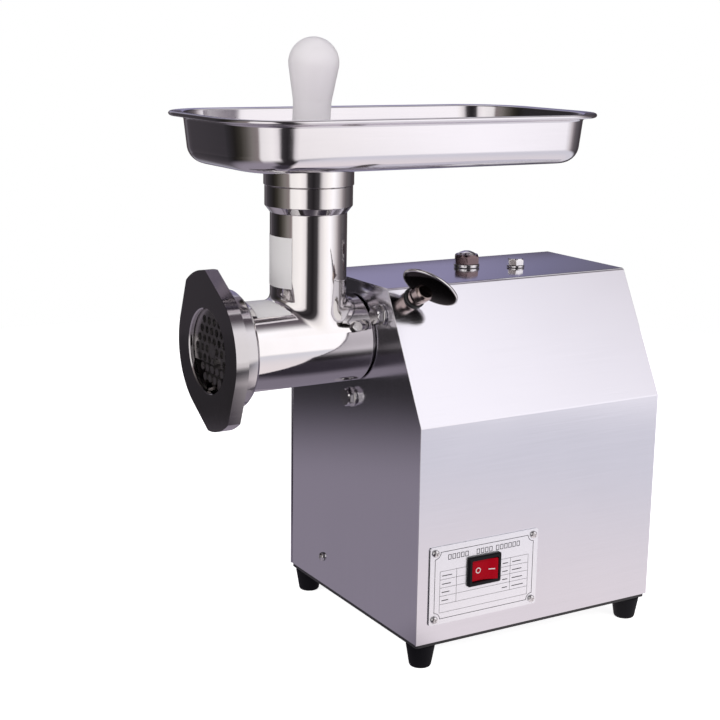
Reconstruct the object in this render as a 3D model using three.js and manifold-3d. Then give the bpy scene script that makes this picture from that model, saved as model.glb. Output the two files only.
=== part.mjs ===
// Electric meat grinder, millimetres, +Z up.
//
// The grinding head points along -Y and the switch is on the +X side. While it is built, the frame's
// origin lies on the floor, under the barrel's axis, level with the housing's front edge. The last
// lines move the whole machine so that its origin is the centre of its own footprint.

import * as THREE from 'three';
import { mergeVertices } from 'three/addons/utils/BufferGeometryUtils.js';
import Module from 'manifold-3d';

const wasm = await Module();
wasm.setup();

// ---------------------------------------------------------------- driving dimensions

const GAP = 0.3;                                 // left between pieces that touch

// Housing: a sheet bent into vertical sides, sloped shoulders and a flat top
const HOUSING_BASE = 21.5;                       // lower edge of the sheet above the floor
const HOUSING_WIDTH = 202.8;
const TOP_WIDTH = 102.4;
const HOUSING_LENGTH = 226.5;
const KNEE_Z = HOUSING_BASE + 170;
const TOP_Z = HOUSING_BASE + 265.8;
const SHEET = 1.2;
const PANEL = 1.5;                               // thickness of the front and rear panels
const SLOPE_LENGTH = Math.hypot((HOUSING_WIDTH - TOP_WIDTH) / 2, TOP_Z - KNEE_Z);
const SLOPE_TILT = Math.atan2(TOP_Z - KNEE_Z, (HOUSING_WIDTH - TOP_WIDTH) / 2);

const BASE_THICKNESS = 2.5;
const BASE_TOP = HOUSING_BASE - GAP;
// Air inlets in the base plate, below the motor
const BASE_VENTS = { width: 24, length: 70, y: 170, columns: [-62, -24, 14] };
const FOOT_INSET = 12;
const FOOT_HEIGHT = BASE_TOP - BASE_THICKNESS - GAP;

// Nameplate and rocker switch on the +X side
const PLATE_Y = [10.3, 110.3];
const PLATE_Z = [HOUSING_BASE + 14.5, HOUSING_BASE + 76.6];
const PLATE_THICKNESS = 1;
const PLATE_SCREW_INSET = 4.6;
const SWITCH_CENTRE = { y: 59.2, z: HOUSING_BASE + 52 };
const BEZEL = { width: 30.4, height: 23.8, depth: 2.6 };
const SWITCH_CUTOUT = { width: 27.2, height: 21 };
const SWITCH_BODY = { width: 26.6, height: 20.4, depth: 24 };
const ROCKER_WELL = { width: 24.4, height: 17.4, depth: 11 };
const ROCKER_TILT = THREE.MathUtils.degToRad(9); // either way of the middle

// Grinding head: everything is turned about the barrel's axis
const AXIS_Z = HOUSING_BASE + 220.2;
const BARREL = { radius: 34.1, bore: 27, rear: -0.8, shoulder: -101.5, front: -118.5 };
const THREAD_RADIUS = 39;
const SEAT = { radius: 35.2, rear: -104.5 };     // counterbore that holds the plate and the knife
const SHANK = { radius: 30, end: 38 };
const TUBE = { y: -39.4, radius: 29.1, bore: 24.5 };
const COLLAR = { radius: 33.2, chamfer: 340.9, base: 346.1, top: 361.1, bore: 29.3, bore_base: 348 };
const NUT = { front: -124, plate: 10, rear: -101, radius: 44.5, lip: 4, hole: 31.5, round: 51 };
const NUT_EAR = { radius: 60, angle: THREE.MathUtils.degToRad(109), half: THREE.MathUtils.degToRad(18) };
const GRIND_PLATE = { radius: 34.8, rear: -112.7, front: -119.7, hole: 3, pitch: 8.4, bore: 6 };
const KNIFE = { rear: -105.4, front: -112.4, reach: 33, width: 13 };
const AUGER = { radius: 26.4, core_front: 10, core_rear: 15, front: -105, rear: -6, pitch: 36 };
const KNIFE_SQUARE = 11.4;
const JOURNAL_RADIUS = 10;
const TANG = { width: 8, span: 19, start: 29.9, end: 42.3 };
const KEY_RADIUS = 2;

// Tray on top of the feed tube
const RIM = { half: 84.8, front: -132.5, rear: 189.2, z: 412.4, corner: 49.3 };
const TRAY_FLOOR = 375.7;
const TRAY_SHEET = 1.5;
const WALL_INSET = { top: 9.7, bottom: 13.5 };
const TRAY_FILLET = 14;
const SPOUT = { radius: 34, spigot: 28.9, bore: 25, seat: COLLAR.top + GAP };

// Pusher, leaning a little in the feed tube
const PUSHER_LEAN = THREE.MathUtils.degToRad(2.2);
const PUSHER_PIVOT_Z = 360;

// Clamp screw, square to the right-hand slope
const CLAMP = { y: 21, down: 9, screw: 6, boss: 7.6, boss_top: 18, wing_centre: 24.5 };
const WING = { long: 22.9, short: 16.5, thickness: 3, turn: THREE.MathUtils.degToRad(51.6) };
const CLAMP_LENGTH = 36.3;

// Bolts that hold the front panel to the gearbox neck
const FLANGE_BOLTS = { right: 30, left: 150, bottom: 270 };
const FLANGE_BOLT_CIRCLE = 48.4;
const FLANGE_BOLT_RADIUS = 4;

// Gearbox and motor behind the head
const NECK = { radius: 40, bore: 30.3, start: 2.6, bottom: 40 };
const CASE = { front: 44, cavity: 58, rear: 123 };
const COVER = { front: CASE.rear + GAP, rear: 135 };
const OUTPUT_GEAR = { teeth: 36, module: 2, front: 84, rear: 103 };
const IDLER_PINION = { teeth: 14, module: 2 };
const IDLER_GEAR = { teeth: 39, module: 1.5, front: 62, rear: 74 };
const MOTOR_PINION = { teeth: 13, module: 1.5 };
const IDLER_SWING = THREE.MathUtils.degToRad(20);
const PITCH = gear => gear.teeth * gear.module / 2;
const OUTPUT_TO_IDLER = PITCH(OUTPUT_GEAR) + PITCH(IDLER_PINION);
const IDLER_TO_MOTOR = PITCH(IDLER_GEAR) + PITCH(MOTOR_PINION);
const IDLER = { x: OUTPUT_TO_IDLER * Math.sin(IDLER_SWING), z: -OUTPUT_TO_IDLER * Math.cos(IDLER_SWING) };
const MOTOR = { x: 0, z: IDLER.z - Math.sqrt(IDLER_TO_MOTOR ** 2 - IDLER.x ** 2) };
const OUTPUT_SHAFT = { radius: 13, tail: 8.5, front: 30.3 };
const IDLER_SHAFT_RADIUS = 6;
const MOTOR_SHAFT_RADIUS = 7;
const MOTOR_SHELL = { radius: 60, wall: 2.5, front: COVER.rear + GAP, rear: 198 };
const MOTOR_BELL = { front: MOTOR_SHELL.rear + GAP, rear: 208 };
const STATOR = { inner: 32.4, front: 149, rear: 189 };
const FAN = { radius: 46, front: 210, rear: 219 };

// Fittings on the flat top
const OIL_CAP = { x: -9, y: 112, flats: 18.5, height: 7.4, dome: 2.8, washer: 10.5, washer_height: 2.6, thread: 6.6 };
const TOP_BOLT = { x: 9, y: 148, flats: 12, height: 5.2, washer: 7.3, washer_height: 1.6, thread: 4 };

const GLAND = { x: -62, z: HOUSING_BASE + 38, bore: 4.2, thread: 7.7, flange: 11 };

// ---------------------------------------------------------------- finishes

const FINISH = {
  brushed: { color: 0xcfccd6, metalness: 1, roughness: 0.3 },
  polished: { color: 0xd8d4d8, metalness: 1, roughness: 0.12 },
  dark_polished: { color: 0x8c8794, metalness: 1, roughness: 0.18 },
  steel: { color: 0xb2b0b0, metalness: 1, roughness: 0.35 },
  cast: { color: 0xa9abad, metalness: 0.9, roughness: 0.6 },
  brass: { color: 0xb98b45, metalness: 1, roughness: 0.35 },
  black_steel: { color: 0x1c1b1d, metalness: 0.4, roughness: 0.55 },
  rubber: { color: 0x17171a, metalness: 0, roughness: 0.8 },
  black_plastic: { color: 0x151517, metalness: 0, roughness: 0.4 },
  red_plastic: { color: 0xb3101c, metalness: 0, roughness: 0.2 },
  white_plastic: { color: 0xeceae6, metalness: 0, roughness: 0.4 },
  copper: { color: 0xb0663a, metalness: 0.8, roughness: 0.45 },
  painted: { color: 0x6f7377, metalness: 0.3, roughness: 0.5 },
};

// ---------------------------------------------------------------- geometry helpers

/** Merges shared vertices, drops collapsed triangles and turns the faces outwards. */
function weld(source) {
  const bare = source.clone();
  bare.deleteAttribute('normal');
  bare.deleteAttribute('uv');
  const merged = mergeVertices(bare, 1e-4);
  const index = [];
  for (let i = 0; i < merged.index.count; i += 3) {
    const corner = [0, 1, 2].map(k => merged.index.getX(i + k));
    if (new Set(corner).size === 3) index.push(...corner);
  }
  merged.setIndex(index);
  if (signedVolume(merged) < 0) merged.setIndex(index.reverse());
  return merged;
}

/** Volume enclosed by a welded mesh, negative where its faces point inwards. */
function signedVolume(geometry) {
  const [a, b, c] = [0, 1, 2].map(() => new THREE.Vector3());
  let sum = 0;
  for (let i = 0; i < geometry.index.count; i += 3) {
    [a, b, c].forEach((v, k) => v.fromBufferAttribute(geometry.attributes.position, geometry.index.getX(i + k)));
    sum += a.dot(b.clone().cross(c));
  }
  return sum / 6;
}

function toSolid(geometry) {
  const mesh = weld(geometry);
  return new wasm.Manifold(new wasm.Mesh({
    numProp: 3,
    vertProperties: new Float32Array(mesh.attributes.position.array),
    triVerts: new Uint32Array(mesh.index.array),
  }));
}

function fromSolid(solid) {
  const { vertProperties, triVerts } = solid.getMesh();
  const geometry = new THREE.BufferGeometry();
  geometry.setAttribute('position', new THREE.BufferAttribute(new Float32Array(vertProperties), 3));
  geometry.setIndex(new THREE.BufferAttribute(new Uint32Array(triVerts), 1));
  return geometry;
}

const join = (...parts) => fromSolid(parts.map(toSolid).reduce((sum, next) => sum.add(next)));
const cut = (body, ...tools) => fromSolid(tools.map(toSolid).reduce((rest, tool) => rest.subtract(tool), toSolid(body)));
const common = (a, b) => fromSolid(toSolid(a).intersect(toSolid(b)));

/** A body turned about the Y axis, from [radius, y] pairs that end on the axis or close on themselves. */
function turnedY(profile, segments = 32) {
  return weld(new THREE.LatheGeometry(profile.map(([r, y]) => new THREE.Vector2(r, y)), segments));
}

/** The same about the Z axis, from [radius, z] pairs. */
const turnedZ = (profile, segments = 32) => turnedY(profile, segments).rotateX(Math.PI / 2);

const discProfile = (radius, low, high) => [[0, low], [radius, low], [radius, high], [0, high]];
const ringProfile = (outer, inner, low, high) => [
  [inner, low], [outer, low], [outer, high], [inner, high], [inner, low],
];
const rodY = (radius, y0, y1, segments = 32) => turnedY(discProfile(radius, y0, y1), segments);
const rodZ = (radius, z0, z1, segments = 32) => turnedZ(discProfile(radius, z0, z1), segments);
const ringY = (outer, inner, y0, y1, segments = 32) => turnedY(ringProfile(outer, inner, y0, y1), segments);
const ringZ = (outer, inner, z0, z1, segments = 32) => turnedZ(ringProfile(outer, inner, z0, z1), segments);

const polygon = points => new THREE.Shape(points.map(([x, y]) => new THREE.Vector2(x, y)));

/** Extrudes an outline drawn in (x, y) from z0 to z1. */
function extrudeZ(shape, z0, z1, curveSegments = 8) {
  const options = { depth: z1 - z0, bevelEnabled: false, curveSegments };
  return weld(new THREE.ExtrudeGeometry(shape, options).translate(0, 0, z0));
}

/** Extrudes an outline drawn in (x, z) from y0 to y1. */
const extrudeY = (shape, y0, y1, curveSegments) =>
  extrudeZ(shape, 0, y1 - y0, curveSegments).rotateX(Math.PI / 2).translate(0, y1, 0);

/** Extrudes an outline drawn in (y, z) from x0 to x1. */
function extrudeX(shape, x0, x1, curveSegments) {
  const turn = new THREE.Matrix4().makeBasis(
    new THREE.Vector3(0, 1, 0), new THREE.Vector3(0, 0, 1), new THREE.Vector3(1, 0, 0));
  return extrudeZ(shape, x0, x1, curveSegments).applyMatrix4(turn);
}

function box(x0, x1, y0, y1, z0, z1) {
  return new THREE.BoxGeometry(x1 - x0, y1 - y0, z1 - z0)
    .translate((x0 + x1) / 2, (y0 + y1) / 2, (z0 + z1) / 2);
}

function rectangle(width, height, corner = 0, cx = 0, cy = 0) {
  const [x0, x1, y0, y1] = [cx - width / 2, cx + width / 2, cy - height / 2, cy + height / 2];
  if (corner === 0) return polygon([[x0, y0], [x1, y0], [x1, y1], [x0, y1]]);
  const shape = new THREE.Shape();
  shape.absarc(x1 - corner, y1 - corner, corner, 0, Math.PI / 2);
  shape.absarc(x0 + corner, y1 - corner, corner, Math.PI / 2, Math.PI);
  shape.absarc(x0 + corner, y0 + corner, corner, Math.PI, 1.5 * Math.PI);
  shape.absarc(x1 - corner, y0 + corner, corner, 1.5 * Math.PI, 2 * Math.PI);
  return shape;
}

function hexagon(flats) {
  const radius = flats / Math.sqrt(3);
  return polygon(Array.from({ length: 6 }, (_, k) => {
    const angle = k * Math.PI / 3;
    return [radius * Math.cos(angle), radius * Math.sin(angle)];
  }));
}

/** Stacks closed rings of equal length into one closed body with flat ends. */
function loft(rings) {
  const count = rings[0].length;
  const points = rings.flat();
  const index = [];
  for (let ring = 0; ring + 1 < rings.length; ring++) {
    for (let k = 0; k < count; k++) {
      const [a, b] = [ring * count + k, ring * count + (k + 1) % count];
      index.push(a, b, b + count, a, b + count, a + count);
    }
  }
  const last = (rings.length - 1) * count;
  for (let k = 1; k + 1 < count; k++) {
    index.push(0, k + 1, k, last, last + k, last + k + 1);
  }
  const geometry = new THREE.BufferGeometry().setFromPoints(points);
  geometry.setIndex(index);
  return weld(geometry);
}

// ---------------------------------------------------------------- scene helpers

const machine = new THREE.Group();

function group(parent, x, y, z) {
  const node = new THREE.Group();
  node.position.set(x, y, z);
  parent.add(node);
  return node;
}

function addPiece(parent, name, finish, geometry) {
  geometry.computeVertexNormals();
  const mesh = new THREE.Mesh(geometry, new THREE.MeshStandardMaterial(FINISH[finish]));
  mesh.name = name;
  parent.add(mesh);
  return mesh;
}

/** Hex bolt with its head standing on z = 0 and its shank below. */
function hexBolt({ flats, height, shank, length, washer = 0, washer_height = 0 }) {
  const head = extrudeZ(hexagon(flats), washer_height, washer_height + height);
  const parts = [head, rodZ(shank, -length, washer_height + 1, 12)];
  if (washer > 0) parts.push(rodZ(washer, 0, washer_height + 0.1, 20));
  return join(...parts);
}

/** Pan-head screw with its head standing on z = 0 and its shank below. */
function panScrew({ radius, height, shank, length }) {
  const shoulder = height * 0.45;
  return turnedZ([
    [0, -length], [shank, -length], [shank, 0], [radius, 0], [radius, shoulder],
    [radius * 0.7, height * 0.9], [0, height],
  ], 16);
}

// ---------------------------------------------------------------- housing

/** The housing's outline in (x, z), moved inwards, open at its lower edge. */
function housingOutline(inset, low) {
  const normal = { x: Math.sin(SLOPE_TILT), z: Math.cos(SLOPE_TILT) };
  const reach = normal.x * HOUSING_WIDTH / 2 + normal.z * KNEE_Z - inset;
  const side = HOUSING_WIDTH / 2 - inset;
  const top = TOP_Z - inset;
  const knee = (reach - normal.x * side) / normal.z;
  const shoulder = (reach - normal.z * top) / normal.x;
  return [[side, low], [side, knee], [shoulder, top], [-shoulder, top], [-side, knee], [-side, low]];
}

/** A group whose origin lies on the right-hand slope and whose +Z points out of it. */
function slopeGroup(y, down) {
  const x = TOP_WIDTH / 2 + down * Math.cos(SLOPE_TILT);
  const z = TOP_Z - down * Math.sin(SLOPE_TILT);
  const node = group(machine, x, y, z);
  node.rotation.y = SLOPE_TILT;
  return node;
}

/** Moves a tool drawn in the clamp's own frame to the machine's frame. */
function inClampFrame(geometry) {
  const node = slopeGroup(CLAMP.y, CLAMP.down);
  node.updateMatrix();
  machine.remove(node);
  return geometry.applyMatrix4(node.matrix);
}

const plateScrewSpots = () => PLATE_Y.flatMap((y, i) => PLATE_Z.map((z, k) => [
  y + (i ? -1 : 1) * PLATE_SCREW_INSET,
  z + (k ? -1 : 1) * PLATE_SCREW_INSET,
]));

function buildHousing() {
  const side = HOUSING_WIDTH / 2;
  const outer = housingOutline(0, HOUSING_BASE);
  const inner = housingOutline(SHEET, HOUSING_BASE).reverse();
  const sheet = extrudeY(polygon([...outer, ...inner]), 0, HOUSING_LENGTH);
  const cutout = rectangle(SWITCH_CUTOUT.width, SWITCH_CUTOUT.height, 0, SWITCH_CENTRE.y, SWITCH_CENTRE.z);
  const screwHoles = plateScrewSpots().map(([y, z]) =>
    rodZ(1.8, -8, 8, 12).rotateY(Math.PI / 2).translate(side, y, z));
  addPiece(machine, 'housing_wrap', 'brushed', cut(sheet,
    extrudeX(cutout, side - 5, side + 5),
    inClampFrame(rodZ(CLAMP.screw + 0.6, -8, 8, 20)),
    rodZ(OIL_CAP.thread + 0.5, TOP_Z - 5, TOP_Z + 5, 20).translate(OIL_CAP.x, OIL_CAP.y, 0),
    rodZ(TOP_BOLT.thread + 0.5, TOP_Z - 5, TOP_Z + 5, 16).translate(TOP_BOLT.x, TOP_BOLT.y, 0),
    ...screwHoles));

  const panelOutline = () => polygon(housingOutline(SHEET + GAP, HOUSING_BASE));
  const boltHoles = Object.values(FLANGE_BOLTS).map(angle => atBoltCircle(
    rodY(FLANGE_BOLT_RADIUS + GAP, -5, 8, 16), angle).translate(0, 0, AXIS_Z));
  addPiece(machine, 'front_panel', 'dark_polished', cut(
    extrudeY(panelOutline(), 0.8, 0.8 + PANEL),
    rodY(SHANK.radius + 1, -5, 8, 48).translate(0, 0, AXIS_Z),
    rodY(2.3, -5, 8, 12).translate(-45.4, 0, HOUSING_BASE + 23.5),
    ...boltHoles));

  const slots = [];
  for (let row = 0; row < 6; row++) {
    for (const column of [-1, 1]) {
      const slot = rectangle(46, 4.6, 2.2, column * 32, HOUSING_BASE + 112 + row * 12);
      slots.push(extrudeY(slot, HOUSING_LENGTH - 6, HOUSING_LENGTH + 4, 2));
    }
  }
  addPiece(machine, 'rear_panel', 'brushed', cut(
    extrudeY(panelOutline(), HOUSING_LENGTH - 0.8 - PANEL, HOUSING_LENGTH - 0.8),
    rodY(GLAND.thread + GAP, HOUSING_LENGTH - 6, HOUSING_LENGTH + 4, 20).translate(GLAND.x, 0, GLAND.z),
    ...slots));

  const base = rectangle(HOUSING_WIDTH - 2.4, HOUSING_LENGTH - 2.4, 2, 0, HOUSING_LENGTH / 2);
  addPiece(machine, 'base_plate', 'black_steel', cut(
    extrudeZ(base, BASE_TOP - BASE_THICKNESS, BASE_TOP, 2),
    ...BASE_VENTS.columns.map(x => extrudeZ(
      rectangle(BASE_VENTS.width, BASE_VENTS.length, 2, x, BASE_VENTS.y), BASE_TOP - 8, BASE_TOP + 4, 2))));

  const footSpots = {
    front_left: [-1, FOOT_INSET], front_right: [1, FOOT_INSET],
    rear_left: [-1, HOUSING_LENGTH - FOOT_INSET], rear_right: [1, HOUSING_LENGTH - FOOT_INSET],
  };
  for (const [place, [hand, y]] of Object.entries(footSpots)) {
    const foot = addPiece(machine, `foot_${place}`, 'rubber', turnedZ([
      [4.6, 0], [7.6, 0], [8.6, 1.2], [11.5, FOOT_HEIGHT], [2.6, FOOT_HEIGHT], [2.6, 9], [4.6, 9], [4.6, 0],
    ], 16));
    foot.position.set(hand * (side - FOOT_INSET), y, 0);
  }

  const panelScrew = addPiece(machine, 'front_panel_screw', 'steel',
    panScrew({ radius: 3.8, height: 2.6, shank: 2, length: 9 }));
  panelScrew.position.set(-45.4, 0.8 - GAP, HOUSING_BASE + 23.5);
  panelScrew.rotation.x = Math.PI / 2;
}

function buildNameplate() {
  const side = HOUSING_WIDTH / 2 + GAP;
  const [width, height] = [PLATE_Y[1] - PLATE_Y[0], PLATE_Z[1] - PLATE_Z[0]];
  const outline = rectangle(width, height, 1.5, (PLATE_Y[0] + PLATE_Y[1]) / 2, (PLATE_Z[0] + PLATE_Z[1]) / 2);
  const cutout = rectangle(SWITCH_CUTOUT.width, SWITCH_CUTOUT.height, 0, SWITCH_CENTRE.y, SWITCH_CENTRE.z);
  const holes = plateScrewSpots().map(([y, z]) =>
    rodZ(1.8, -3, 3, 12).rotateY(Math.PI / 2).translate(side, y, z));
  addPiece(machine, 'nameplate', 'brushed', cut(
    extrudeX(outline, side, side + PLATE_THICKNESS, 3), extrudeX(cutout, side - 3, side + 3), ...holes));
  plateScrewSpots().forEach(([y, z], k) => {
    const screw = addPiece(machine, `nameplate_screw_${k + 1}`, 'steel',
      panScrew({ radius: 3, height: 1.8, shank: 1.5, length: 6 }));
    screw.position.set(side + PLATE_THICKNESS + GAP, y, z);
    screw.rotation.y = Math.PI / 2;
  });
}

/** Switch: a bezel with a body behind it, and a rocker that tilts about the vertical. */
function buildSwitch() {
  const face = HOUSING_WIDTH / 2 + GAP + PLATE_THICKNESS + GAP;
  const frame = group(machine, face, SWITCH_CENTRE.y, SWITCH_CENTRE.z);
  addPiece(frame, 'switch_body', 'black_plastic', cut(
    join(
      extrudeX(rectangle(BEZEL.width, BEZEL.height, 1.6), 0, BEZEL.depth, 3),
      extrudeX(rectangle(SWITCH_BODY.width, SWITCH_BODY.height), -SWITCH_BODY.depth, 0.1)),
    extrudeX(rectangle(ROCKER_WELL.width, ROCKER_WELL.height), -ROCKER_WELL.depth, BEZEL.depth + 1)));
  const rocker = addPiece(frame, 'switch_rocker', 'red_plastic', extrudeZ(polygon([
    [-7, -8], [-7, 8], [-2.5, 11.4], [0.6, 11.4], [-0.8, 0], [0.6, -11.4], [-2.5, -11.4],
  ]), -8.3, 8.3));
  rocker.position.x = BEZEL.depth - 1;
  rocker.rotation.z = -ROCKER_TILT;
}

function buildTopFittings() {
  const cap = group(machine, OIL_CAP.x, OIL_CAP.y, TOP_Z + GAP);
  addPiece(cap, 'oil_cap_washer', 'steel',
    ringZ(OIL_CAP.washer, OIL_CAP.thread + 0.4, 0, OIL_CAP.washer_height, 28));
  const seat = OIL_CAP.washer_height + GAP;
  addPiece(cap, 'oil_cap', 'polished', join(
    extrudeZ(hexagon(OIL_CAP.flats), seat, seat + OIL_CAP.height),
    turnedZ([
      [0, -14], [OIL_CAP.thread, -14], [OIL_CAP.thread, seat + 2], [8, seat + OIL_CAP.height - 0.5],
      [6.6, seat + OIL_CAP.height + 1.8], [3.4, seat + OIL_CAP.height + OIL_CAP.dome - 0.4],
      [0, seat + OIL_CAP.height + OIL_CAP.dome],
    ], 24)));

  const bolt = group(machine, TOP_BOLT.x, TOP_BOLT.y, TOP_Z + GAP);
  addPiece(bolt, 'top_bolt_washer', 'steel',
    ringZ(TOP_BOLT.washer, TOP_BOLT.thread + 0.4, 0, TOP_BOLT.washer_height, 20));
  const headed = addPiece(bolt, 'top_bolt', 'steel',
    hexBolt({ flats: TOP_BOLT.flats, height: TOP_BOLT.height, shank: TOP_BOLT.thread, length: 9 }));
  headed.position.z = TOP_BOLT.washer_height + GAP;
}

function buildGland() {
  const gland = addPiece(machine, 'cable_gland', 'black_plastic', turnedY([
    [GLAND.bore, -13], [GLAND.thread, -13], [GLAND.thread, 0], [GLAND.flange, 0], [GLAND.flange, 6],
    [9.4, 8], [7.4, 14], [GLAND.bore, 14], [GLAND.bore, -13],
  ], 24));
  gland.position.set(GLAND.x, HOUSING_LENGTH - 0.8 + GAP, GLAND.z);
}

// ---------------------------------------------------------------- clamp screw

function buildClamp() {
  const frame = slopeGroup(CLAMP.y, CLAMP.down);
  addPiece(frame, 'clamp_washer', 'black_steel', ringZ(8.4, CLAMP.screw + 0.4, GAP, 2, 24));
  const boss = turnedZ([
    [0, -CLAMP_LENGTH], [CLAMP.screw - 1.5, -CLAMP_LENGTH], [CLAMP.screw, -CLAMP_LENGTH + 1.5],
    [CLAMP.screw, 2.3], [CLAMP.boss - 1, 2.3], [CLAMP.boss, 4], [CLAMP.boss, CLAMP.boss_top - 1],
    [CLAMP.boss - 1.2, CLAMP.boss_top], [0, CLAMP.boss_top],
  ], 24);
  const slot = box(-12, 12, -WING.thickness / 2 - GAP, WING.thickness / 2 + GAP,
    CLAMP.wing_centre - WING.short - GAP, CLAMP.boss_top + 1);
  const screw = addPiece(frame, 'clamp_screw', 'steel', cut(boss, slot));
  screw.rotation.z = WING.turn;
  const outline = new THREE.Shape().absellipse(0, 0, WING.long, WING.short, 0, 2 * Math.PI);
  const wing = addPiece(frame, 'clamp_wing', 'dark_polished',
    extrudeY(outline, -WING.thickness / 2, WING.thickness / 2, 20));
  wing.rotation.z = WING.turn;
  wing.position.z = CLAMP.wing_centre;
}

// ---------------------------------------------------------------- grinding head

const head = group(machine, 0, 0, AXIS_Z);

/** Moves a piece that stands on the axis out to the flange's bolt circle. */
function atBoltCircle(geometry, angle) {
  const radians = THREE.MathUtils.degToRad(angle);
  return geometry.translate(FLANGE_BOLT_CIRCLE * Math.cos(radians), 0, FLANGE_BOLT_CIRCLE * Math.sin(radians));
}

const BUSHING_SCREW = { y: -15, angle: THREE.MathUtils.degToRad(24) };

/** Moves a piece with its axis along +Z onto the barrel's side, pointing outwards. */
function ontoBarrel(object, radius) {
  object.rotation.y = Math.PI / 2 - BUSHING_SCREW.angle;
  object.position.set(
    radius * Math.cos(BUSHING_SCREW.angle), BUSHING_SCREW.y, radius * Math.sin(BUSHING_SCREW.angle));
  return object;
}

function buildHeadCasting() {
  const barrel = turnedY([
    [0, SHANK.end], [SHANK.radius - 1, SHANK.end], [SHANK.radius, SHANK.end - 1],
    [SHANK.radius, BARREL.rear], [BARREL.radius, BARREL.rear],
    [BARREL.radius, BARREL.shoulder + 0.7], [THREAD_RADIUS, BARREL.shoulder - 1],
    [THREAD_RADIUS, BARREL.front], [0, BARREL.front],
  ], 48);
  const tube = turnedZ([
    [0, 0], [TUBE.radius, 0], [TUBE.radius, COLLAR.chamfer - AXIS_Z], [COLLAR.radius, COLLAR.base - AXIS_Z],
    [COLLAR.radius, COLLAR.top - AXIS_Z], [0, COLLAR.top - AXIS_Z],
  ], 48).translate(0, TUBE.y, 0);
  const barrelBore = turnedY([
    [0, 50], [15.2, 50], [15.2, 28], [13, 28], [13, -4], [BARREL.bore, -4], [BARREL.bore, SEAT.rear],
    [SEAT.radius, SEAT.rear], [SEAT.radius, -130], [0, -130],
  ], 48);
  const throat = turnedZ([
    [0, 0], [TUBE.bore, 0], [TUBE.bore, COLLAR.bore_base - AXIS_Z],
    [COLLAR.bore, COLLAR.bore_base - AXIS_Z], [COLLAR.bore, 200], [0, 200],
  ], 48).translate(0, TUBE.y, 0);
  const keyGroove = rodY(KEY_RADIUS + GAP, -118.6 - KEY_RADIUS, -112, 12).translate(0, 0, -SEAT.radius);
  const screwHole = new THREE.Mesh(rodZ(2.8, -6.4, 4, 12));
  ontoBarrel(screwHole, BARREL.radius).updateMatrix();
  addPiece(head, 'head_casting', 'polished', cut(join(barrel, tube),
    barrelBore, throat, keyGroove, screwHole.geometry.applyMatrix4(screwHole.matrix)));

  const screw = addPiece(head, 'bushing_screw', 'steel',
    hexBolt({ flats: 7.5, height: 3, shank: 2.4, length: 5.4 }));
  ontoBarrel(screw, BARREL.radius + GAP);
  addPiece(head, 'auger_bushing', 'brass', ringY(12.7, JOURNAL_RADIUS + 0.2, -3.6, 27.6, 32));
  const key = addPiece(head, 'plate_key', 'steel', rodY(KEY_RADIUS, -118, -112.6, 12));
  key.position.z = -SEAT.radius;
}

/** Ring nut: a round collar behind a front plate that runs out into two ears. */
function buildRingNut() {
  const outline = new THREE.Shape();
  const swing = Math.acos(NUT.round / NUT_EAR.radius);
  for (const turn of [0, Math.PI]) {
    const middle = NUT_EAR.angle + turn;
    const [start, end] = [middle - NUT_EAR.half, middle + NUT_EAR.half];
    outline.absarc(0, 0, NUT_EAR.radius, start, end);
    outline.absarc(0, 0, NUT.round, end + swing, start + Math.PI - swing);
  }
  const backOfPlate = NUT.front + NUT.plate;
  const collar = turnedY([
    [0, NUT.rear], [NUT.radius - 2, NUT.rear], [NUT.radius, NUT.rear - 2.5],
    [NUT.radius, backOfPlate - 1], [0, backOfPlate - 1],
  ], 48);
  const inside = turnedY([
    [0, NUT.rear + 5], [THREAD_RADIUS + GAP, NUT.rear + 5], [THREAD_RADIUS + GAP, NUT.front + NUT.lip],
    [NUT.hole, NUT.front + NUT.lip], [NUT.hole, NUT.front - 5], [0, NUT.front - 5],
  ], 48);
  addPiece(head, 'ring_nut', 'dark_polished', cut(
    join(extrudeY(outline, NUT.front, backOfPlate, 10), collar), inside));
}

/** Rows of holes on a triangular grid, kept inside the plate's rim and clear of its middle. */
function grinderHoles() {
  const holes = [];
  const reach = 4;
  for (let row = -reach; row <= reach; row++) {
    for (let column = -reach; column <= reach; column++) {
      const x = GRIND_PLATE.pitch * (column + row / 2);
      const z = GRIND_PLATE.pitch * row * Math.sqrt(3) / 2;
      const radius = Math.hypot(x, z);
      if (radius > GRIND_PLATE.bore + 2 && radius < NUT.hole - GRIND_PLATE.hole) holes.push([x, z]);
    }
  }
  return holes;
}

function buildCutters() {
  const holes = grinderHoles().map(([x, z]) =>
    rodY(GRIND_PLATE.hole, GRIND_PLATE.front - 2, GRIND_PLATE.rear + 2, 6).translate(x, 0, z));
  const notch = rodY(KEY_RADIUS + 0.4, GRIND_PLATE.front - 2, GRIND_PLATE.rear + 2, 12);
  addPiece(head, 'grinder_plate', 'steel', cut(
    rodY(GRIND_PLATE.radius, GRIND_PLATE.front, GRIND_PLATE.rear, 48),
    rodY(GRIND_PLATE.bore, GRIND_PLATE.front - 2, GRIND_PLATE.rear + 2, 24),
    notch.translate(0, 0, -SEAT.radius), ...holes));

  const blade = length => box(-length, length, KNIFE.front, KNIFE.rear, -KNIFE.width / 2, KNIFE.width / 2);
  const cross = join(
    rodY(12, KNIFE.front, KNIFE.rear, 24), blade(KNIFE.reach), blade(KNIFE.reach).rotateY(Math.PI / 2));
  const square = KNIFE_SQUARE / 2 + GAP;
  addPiece(head, 'knife', 'steel', cut(
    common(cross, rodY(KNIFE.reach - 1, KNIFE.front - 1, KNIFE.rear + 1, 32)),
    box(-square, square, KNIFE.front - 2, KNIFE.rear + 2, -square, square)));
}

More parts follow.
